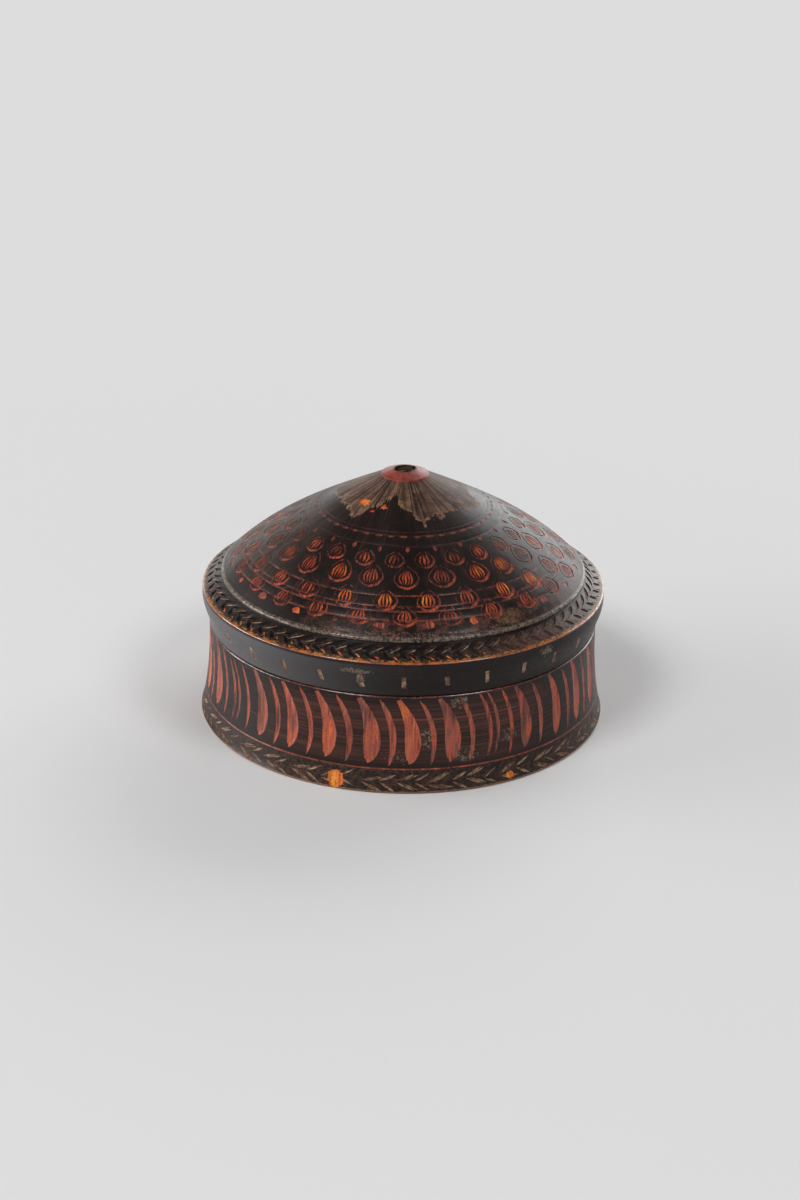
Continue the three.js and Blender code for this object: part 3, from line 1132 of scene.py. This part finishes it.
PETAL_GAP_AT = 44.6  # degrees round to a gap between two tips
OVAL_LINE_WIDTH = 1.05 * MM
OVAL_DEPTH = 0.3 * MM
RUBBED_DOME = rgb(92, 56, 46)
TAN_PATCH = rgb(112, 86, 58)
PATINA_DARK = rgb(44, 28, 22)
PATINA_PALE = rgb(126, 94, 76)
PATINA_CLOUD = rgb(52, 35, 29)
STAR_EDGE = rgb(158, 122, 90)
SCRATCH = rgb(150, 104, 82)
WORN_FLANK = rgb(84, 70, 60)
# painted highlight: the colour of painted glints at the foot of the dome
PAINTED_GLINT = rgb(166, 152, 138)
BEAD_SPECKLE = rgb(138, 120, 104)
WORN_RIM = rgb(84, 70, 62)
WORN_RIM_RIGHT = rgb(104, 78, 66)
RIM_OCHRE = rgb(176, 120, 52)
RIM_EDGE_ORANGE = rgb(178, 100, 56)
RIM_EDGE_BROWN = rgb(104, 54, 38)
BOSS_RED = rgb(158, 66, 52)
BOSS_BROWN = rgb(104, 50, 44)
# painted sheen: a grey that stands in for the lamp's shine on the lid's left side
PAINTED_SHEEN_GREY = rgb(112, 111, 113)
SCUFF = rgb(132, 116, 98)
TORN_DARK = rgb(66, 54, 47)
TORN_PALE = rgb(178, 160, 142)


def dome_height(r):
    """Height of the dome's outer face: a cone that rounds over at its foot."""
    rounding = DOME_ROUNDING * (1 - (r / DOME_RADIUS) ** 5)
    return DOME_FOOT + DOME_SLOPE * (DOME_RADIUS - r) + rounding


def side_radius(z):
    """Radius of the lid's side: drawn in at its lower edge, widest below the rim."""
    t = min(max((z - LID_BOTTOM) / (SIDE_TOP - LID_BOTTOM), 0), 1)
    return WAIST_RADIUS + (RIM_RADIUS - WAIST_RADIUS) * t * t * (3 - 2 * t)


def lid_outside(lines):
    """The outside from the lower edge up to the boss, scored with turned lines."""
    edge = [(WAIST_RADIUS - 0.3 * MM, LID_BOTTOM)]
    side = [(side_radius(z), z) for z in stretch(LID_BOTTOM + 0.3 * MM, SIDE_TOP, 14)]
    corner = arc((RIM_RADIUS - EDGE_ROUND, RIM_EDGE - EDGE_ROUND), EDGE_ROUND, 0, 60, 5)
    slope_end = DOME_RADIUS + BEAD_RADIUS
    slope_rise = RIM_INNER - RIM_EDGE + 0.09 * MM
    slope_run = RIM_RADIUS - 0.3 * MM - slope_end
    slope = [
        (r, RIM_INNER - (r - slope_end) * slope_rise / slope_run)
        for r in stretch(RIM_RADIUS - 1.0 * MM, slope_end, 6)
    ]
    bead = arc((DOME_RADIUS - BEAD_RADIUS / 3, DOME_FOOT - BEAD_RADIUS), BEAD_RADIUS, -40, 75, 8)
    radii = scored(stretch(DOME_RADIUS - 0.8 * MM, BOSS_RADIUS, 44), lines, LINE_WIDTH)
    dome = [(r, dome_height(r) - LINE_DEPTH * share) for r, share in radii]
    return edge + side + corner + slope + bead + dome


def lid_outline():
    hollow_edge = MOUTH_RADIUS - LIP_THICKNESS
    hollow = [(r, dome_height(r) - LID_THICKNESS) for r in stretch(HOLLOW_FLAT_RADIUS, hollow_edge, 18)]
    mouth = [(hollow_edge, MOUTH_TOP), (MOUTH_RADIUS, MOUTH_TOP), (MOUTH_RADIUS, LID_BOTTOM)]
    boss_foot = dome_height(BOSS_RADIUS)
    edge_centre = (BOSS_RADIUS - BOSS_EDGE_ROUND, boss_foot + BOSS_STEP - 0.1 * MM)
    boss_edge = arc(edge_centre, BOSS_EDGE_ROUND, 0, 70, 4)
    boss_rise = BOSS_TOP - boss_foot - BOSS_STEP
    boss_run = BOSS_RADIUS - BOSS_TOP_RADIUS
    boss = [
        (r, BOSS_TOP - boss_rise * ((r - BOSS_TOP_RADIUS) / boss_run) ** 1.15)
        for r in stretch(BOSS_RADIUS - 0.7 * MM, BOSS_TOP_RADIUS, 6)
    ]
    bore_bottom = BOSS_TOP - BORE_DEPTH
    bore = [(BORE_RADIUS, BOSS_TOP), (BORE_RADIUS, bore_bottom), (0, bore_bottom)]
    outline = [(0, hollow[0][1], INSIDE)] + [(r, z, INSIDE) for r, z in hollow + mouth]
    outline += [(r, z, OUTSIDE) for r, z in lid_outside(CROWN_LINES + OVAL_LINES) + boss_edge + boss]
    outline += [(r, z, BARE) for r, z in bore]
    return outline


def flank_wear_group():
    """How far the left flank of the dome is worn to a dull brown, in streaks down the slope."""
    group, w, _, result = new_group("flank_wear", (), ("Mask",))
    spot = w.group(place_on_box)
    flank = w.times(w.near(spot["Angle"], -98.0, 26.0, 28.0), w.near(spot["Radius"], 42.0, 10.0, 9.0))
    streaks = w.patches(spot["Streaks"], 0.5, 5.0, 0.7, 0.36, 0.6)
    w.feed(result["Mask"], w.times(flank, streaks))
    return group


def rim_wear_group():
    """How far the rim is worn smooth at the right, from the front round to the back."""
    group, w, _, result = new_group("rim_wear", (), ("Mask",))
    spot = w.group(place_on_box)
    patchy = w.patches(spot["Place"], 0.25, 4.0, 0.6, 0.32, 0.5)
    w.feed(result["Mask"], w.times(w.near(spot["Angle"], 78.0, 42.0, 24.0), patchy))
    return group


flank_wear = flank_wear_group()
rim_wear = rim_wear_group()


def lid_lac():
    """Black over red and yellow, with the wear of each zone from the side up to the boss, and a painted
    sheen and painted glints.
    """
    material, w, shader = lac_material("lid_lac_outside")
    spot = w.group(place_on_box)
    radius, height, angle = spot["Radius"], spot["Height"], spot["Angle"]
    on_dome = w.ramp(height, DOME_FOOT / MM - 0.6, DOME_FOOT / MM)
    lac = w.group(black_lac, Rubbed=0.0)
    colour, roughness = lac["Colour"], lac["Roughness"]

    # Red lines that were turned into the crown and between the rows of ovals.
    broken = w.noise(spot["Place"], 0.3, 4.0, 0.7)
    for line in CROWN_LINES:
        mask = w.times(w.near(radius, line / MM, 0.12, 0.1), w.ramp(broken, 0.42, 0.6), on_dome)
        colour = w.colour(w.times(mask, 0.45), colour, DULL_RED)
    red = w.group(red_lac, Depth=0.3, Streaks=0.4)["Colour"]
    for line in OVAL_LINES:
        mask = w.times(w.near(radius, line / MM, 0.2, 0.12), w.ramp(broken, 0.4, 0.52), on_dome)
        colour = w.colour(w.times(mask, 0.7), colour, red)

    fine_streaks = w.noise(spot["Streaks"], 0.3, 6.0, 0.72)
    brown_strokes = w.times(w.ramp(fine_streaks, 0.52, 0.64), on_dome)
    colour = w.colour(w.times(brown_strokes, 0.7), colour, BROWN_LAC)

    # The foot of the dome at the right, rubbed thin, with a tan patch in front.
    low_dome = w.times(w.near(radius, 60.4, 1.4, 2.4), w.near(angle, 55.0, 68.0, 26.0), on_dome)
    rubbed = w.patches(spot["Place"], 0.3, 5.0, 0.75, 0.46, 0.6)
    rubbed = w.times(low_dome, rubbed, 0.8)
    colour = w.colour(rubbed, colour, RUBBED_DOME)
    tan_patch = w.group(spot_mark, Angle=35.0, Height=55.0, Wide=10.0, Tall=3.4, Broken=1.4)["Mask"]
    tan_patch = w.times(tan_patch, w.patches(spot["Place"], 0.9, 4.0, 0.7, 0.34, 0.62))
    colour = w.colour(w.times(tan_patch, 0.8), colour, TAN_PATCH)

    # The worn star round the boss, with a pale edge. Its gaps are deepest in front.
    in_front = w.near(angle, -14.0, 26.0, 22.0)
    petal = w.calc("FRACT", w.over(w.minus(angle, PETAL_GAP_AT), PETAL_SPACING))
    off_tip = w.times(w.calc("ABSOLUTE", w.minus(petal, 0.5)), 2.0)
    gap = w.times(w.calc("POWER", off_tip, 0.7), w.level(in_front, 5.0, 12.5))
    ragged = w.swing(spot["Place"], 0.2, 5.0, 0.7)
    ragged = w.calc("MULTIPLY_ADD", w.minus(fine_streaks, 0.5), 0.8, ragged)
    star_edge = w.calc("MULTIPLY_ADD", ragged, 12.0, w.minus(STAR_REACH / MM, gap))
    inside_star = w.minus(star_edge, radius)
    star = w.ramp(inside_star, 0.0, 0.6)
    patina = w.colour(w.ramp(fine_streaks, 0.4, 0.6), PATINA_DARK, PATINA_PALE)
    clouded = w.patches(spot["Place"], 0.3, 4.0, 0.65, 0.4, 0.62)
    patina = w.colour(w.times(clouded, 0.5), patina, PATINA_CLOUD)
    colour = w.colour(w.times(star, 0.92), colour, patina)
    roughness = w.level(star, roughness, 0.6)
    star_rim = w.near(inside_star, 0.4, 0.25, 0.4)
    star_rim = w.times(star_rim, w.patches(spot["Place"], 0.6, 3.0, 0.6, 0.42, 0.56))
    colour = w.colour(w.times(star_rim, 0.8), colour, STAR_EDGE)

    # Dark scores, pale scratches and a crackle, all of which run down the slope.
    upper = w.times(w.ramp(radius, 9.0, 11.0), w.ramp(radius, 36.0, 50.0, 1.0, 0.0))
    scores = w.near(w.noise(spot["Streaks"], 0.22, 3.0, 0.6), 0.5, 0.006, 0.012)
    scores = w.times(scores, upper, w.ramp(broken, 0.42, 0.5))
    colour = w.colour(w.times(scores, 0.85), colour, BLACK_LAC)
    scratched = w.near(w.noise(spot["Streaks"], 0.17, 2.0, 0.6), 0.56, 0.004, 0.008)
    scratched = w.times(scratched, star, w.ramp(broken, 0.5, 0.42))
    colour = w.colour(w.times(scratched, 0.6), colour, SCRATCH)
    crackle = w.noise(spot["Streaks"], 0.7, 3.0, 0.6, 0.3)
    crackle = w.times(w.ramp(crackle, 0.4, 0.44, 1.0, 0.0), w.near(angle, 70.0, 30.0, 30.0))
    colour = w.colour(w.times(crackle, on_dome, 0.8), colour, BLACK_LAC)

    flank = w.times(w.group(flank_wear)["Mask"], on_dome)
    colour = w.colour(w.times(flank, 0.6), colour, WORN_FLANK)
    roughness = w.level(flank, roughness, 0.6)

    # Painted glints: pale specks at the foot of the dome in front, standing in for the shine of the
    # lamps there.
    painted_glints = w.times(w.near(radius, 62.1, 0.5, 0.7), w.near(angle, 4.0, 22.0, 20.0))
    painted_glints = w.times(painted_glints, w.patches(spot["Place"], 1.3, 6.0, 0.8, 0.52, 0.62))
    colour = w.colour(w.times(painted_glints, on_dome, 0.45), colour, PAINTED_GLINT)

    # The bead and the rim, with wear that is heaviest at the right and on the edge.
    bead_speckle = w.patches(spot["Place"], 1.1, 5.0, 0.75, 0.38, 0.6)
    bead = w.times(w.near(radius, 63.1, 0.3, 0.6), w.near(height, 52.2, 0.6, 0.6))
    bead = w.times(bead, bead_speckle)
    colour = w.colour(w.times(bead, 0.7), colour, BEAD_SPECKLE)
    on_rim = w.times(w.near(radius, 66.8, 2.8, 0.3), w.near(height, 48.8, 2.0, 0.3))
    at_right = w.group(rim_wear)["Mask"]
    worn_rim = w.ramp(w.noise(spot["Place"], 0.8, 5.0, 0.75), w.level(at_right, 0.46, 0.3), 0.66)
    worn_rim = w.times(on_rim, worn_rim, 0.75)
    colour = w.colour(worn_rim, colour, w.colour(at_right, WORN_RIM, WORN_RIM_RIGHT))
    outer_rim = w.times(on_rim, w.ramp(radius, 68.6, 69.1))
    outer_rim = w.times(outer_rim, w.patches(spot["Place"], 0.7, 4.0, 0.7, 0.46, 0.56))
    colour = w.colour(w.times(outer_rim, 0.75), colour, RIM_OCHRE)
    rim_edge = w.group(
        worn_edge, Edge_Radius=RIM_RADIUS / MM - 0.15, Edge_Height=RIM_EDGE / MM - 0.1,
        Width=0.42, Raggedness=0.5,
    )["Mask"]
    edge_colour = w.colour(w.ramp(broken, 0.4, 0.6), RIM_EDGE_ORANGE, RIM_EDGE_BROWN)
    roughness = w.level(rim_edge, roughness, 0.3)
    colour = w.colour(rim_edge, colour, edge_colour)

    boss = w.times(w.ramp(radius, 8.2, 8.3, 1.0, 0.0), w.ramp(radius, 3.7, 4.6))
    mottled = w.patches(spot["Place"], 0.5, 5.0, 0.7, 0.35, 0.65)
    boss_red = w.colour(mottled, BOSS_RED, BOSS_BROWN)
    colour = w.colour(boss, colour, boss_red)
    roughness = w.level(boss, roughness, 0.38)

    # A painted grey sheen on the left side, standing in for the shine of the left lamp on the lac, then
    # scuffs in front, and dust all over.
    painted_sheen = w.times(w.near(angle, -75.0, 22.0, 62.0), w.near(height, 40.0, 5.2, 1.0))
    colour = w.colour(w.times(painted_sheen, 0.5), colour, PAINTED_SHEEN_GREY)

    places = (-12.5, 43.3, 9, 1.6), (-11, 40.5, 2.4, 5), (-45.9, 40, 3, 3), (43, 44, 5, 3)
    scuffed = scuff_marks(w, places, 1.6)
    scuffed = w.times(scuffed, w.patches(spot["Place"], 1.4, 4.0, 0.7, 0.36, 0.6))
    colour = w.colour(w.times(scuffed, 0.7), colour, SCUFF)
    dusty = w.group(dust, Amount=w.calc("MULTIPLY_ADD", low_dome, 0.5, 0.3))["Mask"]
    colour = w.colour(w.times(dusty, 0.7), colour, GREY_DUST)
    roughness = w.level(dusty, roughness, 0.8)
    worn = w.most(star, flank)
    relief = w.level(worn, lac["Relief"], w.times(fine_streaks, 2.5))
    gloss = w.minus(0.05, w.times(w.most(worn, dusty), 0.05))
    glossy_edge = w.times(rim_edge, w.ramp(broken, 0.4, 0.54, 0.0, 0.7))
    gloss = w.most(gloss, w.times(bead, 0.3), glossy_edge)
    finish_lac(w, shader, colour, roughness, relief, 0.04 * MM, gloss)
    return material


def oval_cuts(wide, tall, bars, tone):
    """A pointed oval as a carver draws it: one stroke round its outline, thick at the lower
    right, and a few bars inside that swell like the ribs of a seed."""
    draw = random.Random(round(tall / MM * 10))

    def half_width(full, t):
        return full / 2 * math.sin(math.pi * t ** 0.8) ** 0.8

    def outline_tone(t):
        return 0.16 + tone * 0.5 * math.exp(-((t - 0.6) / 0.16) ** 2)

    def outline_swell(t):
        return 0.45 + 0.55 * math.exp(-((t - 0.62) / 0.22) ** 2)

    def unsteady(x, y, by):
        return (x + draw.uniform(-by, by) * MM, y + draw.uniform(-by, by) * MM)

    cuts = Cuts()
    for lean, rubbed_bright in ((0, 1.1), (1, 0.8), (2, 1.2), (0.5, 1.0), (1.5, 0.6)):
        down = [0.97 * (1 - s) ** 1.5 for s in stretch(0, 1, 12)]
        left = [unsteady(-half_width(wide, t) - 0.1 * MM, (t - 0.5) * tall, 0.13) for t in down]
        up = reversed(down)
        right = [unsteady(half_width(wide, t) + 0.1 * MM, (t - 0.5) * tall, 0.13) for t in up]
        outline = left[:-1] + [(0, -0.5 * tall)] + right[1:]
        cuts.cut(outline, OVAL_LINE_WIDTH, OVAL_DEPTH, outline_tone, outline_swell)
        for i in range(bars):
            across = (i - (bars - 1) / 2) / (bars / 2) + 0.06 * (lean - 1)
            path = []
            for t in stretch(0.08, 0.93, 7):
                x = across * half_width(wide * 0.68, t)
                path.append(unsteady(x - 0.1 * MM * lean, (t - 0.5) * tall * 0.8 - 0.04 * tall, 0.1))
            bar = wide * 0.68 / bars * draw.uniform(0.45, 0.66)
            shade = tone * rubbed_bright * draw.uniform(0.75, 1.25)
            cuts.cut(path, bar, OVAL_DEPTH, lambda t: shade * (0.6 + 0.55 * math.sin(math.pi * t)))
        cuts.next_kind()
    return cuts


def leaf_cuts(length, width, degrees, deep, tone, swell=None):
    """Leaf-shaped hollows that slant to the right by so many degrees above level."""
    cuts = Cuts()
    for share in (1.0, 0.93, 1.06):
        slant = math.radians(degrees)
        steps = stretch(-length * share / 2, length * share / 2, 6)
        path = [(s * math.cos(slant), s * math.sin(slant)) for s in steps]
        cuts.cut(path, width, deep, lambda t: tone, swell)
        cuts.next_kind()
    return cuts


def rubbed_spots():
    """Small ragged spots by the bead, where the lowest ornaments are rubbed to the red."""
    draw = random.Random(5)
    cuts = Cuts()
    spots = (4.6, 3.0, 0.3), (3.6, 2.6, 0.62), (1.6, 1.0, 0.2), (5.0, 2.6, 0.24), (2.8, 2.2, 0.4)
    for wide, tall, tone in spots:
        outline = []
        for angle in stretch(0, 2 * math.pi, 16)[:-1]:
            reach = 0.5 * draw.uniform(0.75, 1.05)
            outline.append((wide * reach * math.cos(angle) * MM, tall * reach * math.sin(angle) * MM))
        cuts.patch(outline, 0.12 * MM, tone)
        cuts.next_kind()
    return cuts


def torn_mouth():
    """The solid that tears the edge of the bore, where the finial broke off."""
    draw = random.Random(7)
    count = 30
    vertices, faces = [], []
    for i in range(count):
        angle = 2 * math.pi * i / count
        reach = draw.uniform(3.0, 4.2) * MM
        deep = draw.uniform(0.25, 0.6) * MM
        inner = 2.2 * MM
        ring = (
            (inner, BOSS_TOP + MM), (inner, BOSS_TOP - deep - 0.4 * MM),
            (reach, BOSS_TOP - deep * 0.5), (reach, BOSS_TOP + MM),
        )
        vertices += [(r * math.sin(angle), -r * math.cos(angle), z) for r, z in ring]
        a, b = 4 * i, 4 * ((i + 1) % count)
        faces += [(a + k, a + (k + 1) % 4, b + (k + 1) % 4, b + k) for k in range(4)]
    mesh = bpy.data.meshes.new("torn_mouth")
    mesh.from_pydata(vertices, [], faces)
    mesh.materials.append(torn_wood)
    return new_object("torn_mouth", mesh)


def torn_end_grain():
    """Broken wood at the top, pale at the splinters and dark between them."""
    material, w, shader = lac_material("torn_wood")
    spot = w.group(place_on_box)
    x, y, z = w.split(spot["Place"])
    fibres = w.noise(w.vector(x, w.times(y, 0.4), z), 2.2, 5.0, 0.75)
    colour = w.colour(w.ramp(fibres, 0.4, 0.62), TORN_DARK, TORN_PALE)
    finish_lac(w, shader, colour, w.ramp(fibres, 0.3, 0.7, 0.7, 0.9), fibres, 0.3 * MM)
    return material


lid_finishes = (lid_lac(), inside_lac("lid_inside_lac"), bare_wood("bore_wood"))
oval_lac = cut_lac("oval_lac", 0.08, 1.0, flank_wear)
side_dash_lac = dirt_filled("side_dash_lac", 0.6)
rim_leaf_lac = cut_lac("rim_leaf_lac", 0.6, 0.3, rim_wear)
rim_line_lac = dirt_filled("rim_line_lac", 0.54, rim_wear)
rim_fleck_lac = cut_lac("rim_fleck_lac", 0.3, 1.0, rim_wear)
torn_wood = torn_end_grain()

lid_line = lid_outline()
lid = turned("lid_turning", lid_line, lid_finishes)
lid_guide_points = lid_outside(())
lid_guide = guide_line(lid_guide_points)


def row_on_dome(name, cuts, count, first, radius, seed, size=0.05, drift=0.5):
    """A row of ornaments round the dome at a radius."""
    along = way_along(lid_guide_points, lambda r, z: z > DOME_FOOT and r <= radius)
    return cuts.wrap(
        name, lid_guide, oval_lac, count, first, along, radius, Lean_Spread=math.radians(3),
        Size_Spread=size, Drift=drift * MM, Wobble=0.9 * MM, Seed=seed,
    )


def row_on_rim(name, cuts, material, first, radius, seed):
    """A row of cuts round the sloping rim at a radius."""
    along = way_along(lid_guide_points, lambda r, z: z > RIM_EDGE - 0.2 * MM and r <= radius)
    return cuts.wrap(
        name, lid_guide, material, RIM_LEAVES_ROUND, first, along, radius,
        Lean_Spread=math.radians(3), Size_Spread=0.05, Drift=0.25 * MM, Wobble=0.4 * MM, Seed=seed,
    )


side_dashes = leaf_cuts(4.6 * MM, 1.7 * MM, 97, 0.2 * MM, 0.36, lambda t: 1.0).wrap(
    "side_dashes", lid_guide, side_dash_lac, SIDE_DASHES_ROUND, 0.7, 5.8 * MM, 69.0 * MM,
    Lean_Spread=math.radians(6), Size_Spread=0.12, Drift=0.3 * MM, Wobble=0.8 * MM, Seed=21,
)
lid_cuts = [side_dashes]
rim_rows = (
    # name, length, width, slant, depth and tone, then the finish, first angle, radius and seed
    ("rim_leaves_outer", (3.8, 1.8, -45, 0.45, 0.3), rim_leaf_lac, 0.8, 67.8, 22),
    ("rim_leaves_inner", (6.2, 1.7, 25, 0.45, 0.3), rim_leaf_lac, 0.8, 65.3, 23),
    ("rim_lines", (5.6, 0.6, 28, 0.12, 0.3), rim_line_lac, 3.2, 65.5, 31),
    ("rim_flecks", (2.6, 0.8, -42, 0.15, 0.85), rim_fleck_lac, 3.0, 68.2, 32),
)
for name, (length, width, degrees, deep, tone), material, first, radius, seed in rim_rows:
    leaves = leaf_cuts(length * MM, width * MM, degrees, deep * MM, tone)
    lid_cuts.append(row_on_rim(name, leaves, material, first, radius * MM, seed))
lid_cuts.append(
    row_on_dome("rubbed_spots", rubbed_spots(), OVALS_ROUND, 8.3, 60.6 * MM, 30, size=0.2, drift=0.6)
)
oval_rows = (
    # name, width, height, bars and tone, then the first angle, the radius and the seed
    ("ovals_4", (7.5, 6.9, 4, 0.48), 0.5, 57.6, 24),
    ("ovals_3", (7.4, 8.2, 4, 0.74), 8.8, 52.6, 25),
    ("ovals_2", (8.2, 9.2, 5, 0.56), 1.8, 45.9, 26),
    ("ovals_1", (6.2, 6.9, 3, 0.42), 10.1, 38.8, 27),
)
for name, (wide, tall, bars, tone), first, radius, seed in oval_rows:
    ovals = oval_cuts(wide * MM, tall * MM, bars, tone)
    lid_cuts.append(row_on_dome(name, ovals, OVALS_ROUND, first, radius * MM, seed))
drops = leaf_cuts(2.4 * MM, 1.7 * MM, 90, 0.25 * MM, 0.26)
lid_cuts.append(row_on_dome("drops", drops, OVALS_ROUND, 2.0, 35.4 * MM, 28))
dashes = leaf_cuts(2.7 * MM, 1.3 * MM, 0, 0.2 * MM, 0.24)
lid_cuts.append(row_on_dome("dashes", dashes, CROWN_DASHES_ROUND, 0.0, 31.2 * MM, 29, drift=0.25))

crown_way = way_along(lid_guide_points, lambda r, z: z > DOME_FOOT and r <= 20.4 * MM)
crown_flakes = (
    # wide, tall, seed, tone and raggedness, then the angle, how far down and the radius
    ((5.6, 3.8, 41, 0.8, 0.5), -44.7, 0.0, 20.4),
    ((4.2, 2.6, 42, 0.7, 0.4), -21.8, 0.0, 20.4),
    ((2.8, 1.4, 43, 0.7, 0.4), -30.0, 2.6, 22.0),
)
for (wide, tall, seed, tone, torn), angle, down, radius in crown_flakes:
    flake = flaked_spot(wide * MM, tall * MM, seed, tone, torn)
    along = crown_way - down * MM
    lid_cuts.append(flake.wrap("crown_flake", lid_guide, flaked_lac, 1, angle, along, radius * MM))
lid_cuts.append(torn_mouth())
carve(lid, lid_cuts)
smooth_turning(lid, lid_line, lid_finishes)
bpy.data.objects.remove(lid_guide)
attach(lid, "lid_body")
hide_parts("lid")


# Finial stub. The lower end of a turned finial's tenon, glued into the bore. The finial
# broke off, and what is left is torn end grain that stands in splinters below the boss.
stub_low, stub_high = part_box("finial_stub")
STUB_RINGS = 6
STUB_STEPS = 36

draw = random.Random(11)
stub_vertices = [(0, 0, stub_low.z)]
rings = [(stub_high.x, stub_low.z)]
rings += [(stub_high.x * (1 - i / STUB_RINGS), stub_high.z) for i in range(STUB_RINGS)]
for number, (r, z) in enumerate(rings):
    for i in range(STUB_STEPS):
        angle = 2 * math.pi * i / STUB_STEPS
        drop = draw.uniform(0.0, 1.1) * MM if number else 0.0
        stub_vertices.append((r * math.sin(angle), -r * math.cos(angle), z - drop))
stub_vertices.append((0, 0, stub_high.z - 0.6 * MM))
stub_faces = []
for i in range(STUB_STEPS):
    j = (i + 1) % STUB_STEPS
    stub_faces.append((0, 1 + j, 1 + i))
    for ring in range(len(rings) - 1):
        a, b = 1 + ring * STUB_STEPS, 1 + (ring + 1) * STUB_STEPS
        stub_faces.append((a + i, a + j, b + j, b + i))
    top = 1 + (len(rings) - 1) * STUB_STEPS
    stub_faces.append((top + i, top + j, len(stub_vertices) - 1))
stub_mesh = bpy.data.meshes.new("broken_stub")
stub_mesh.from_pydata(stub_vertices, [], stub_faces)
stub_mesh.materials.append(torn_wood)
stub = new_object("broken_stub", stub_mesh)
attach(stub, "lid_body")
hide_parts("finial_stub")
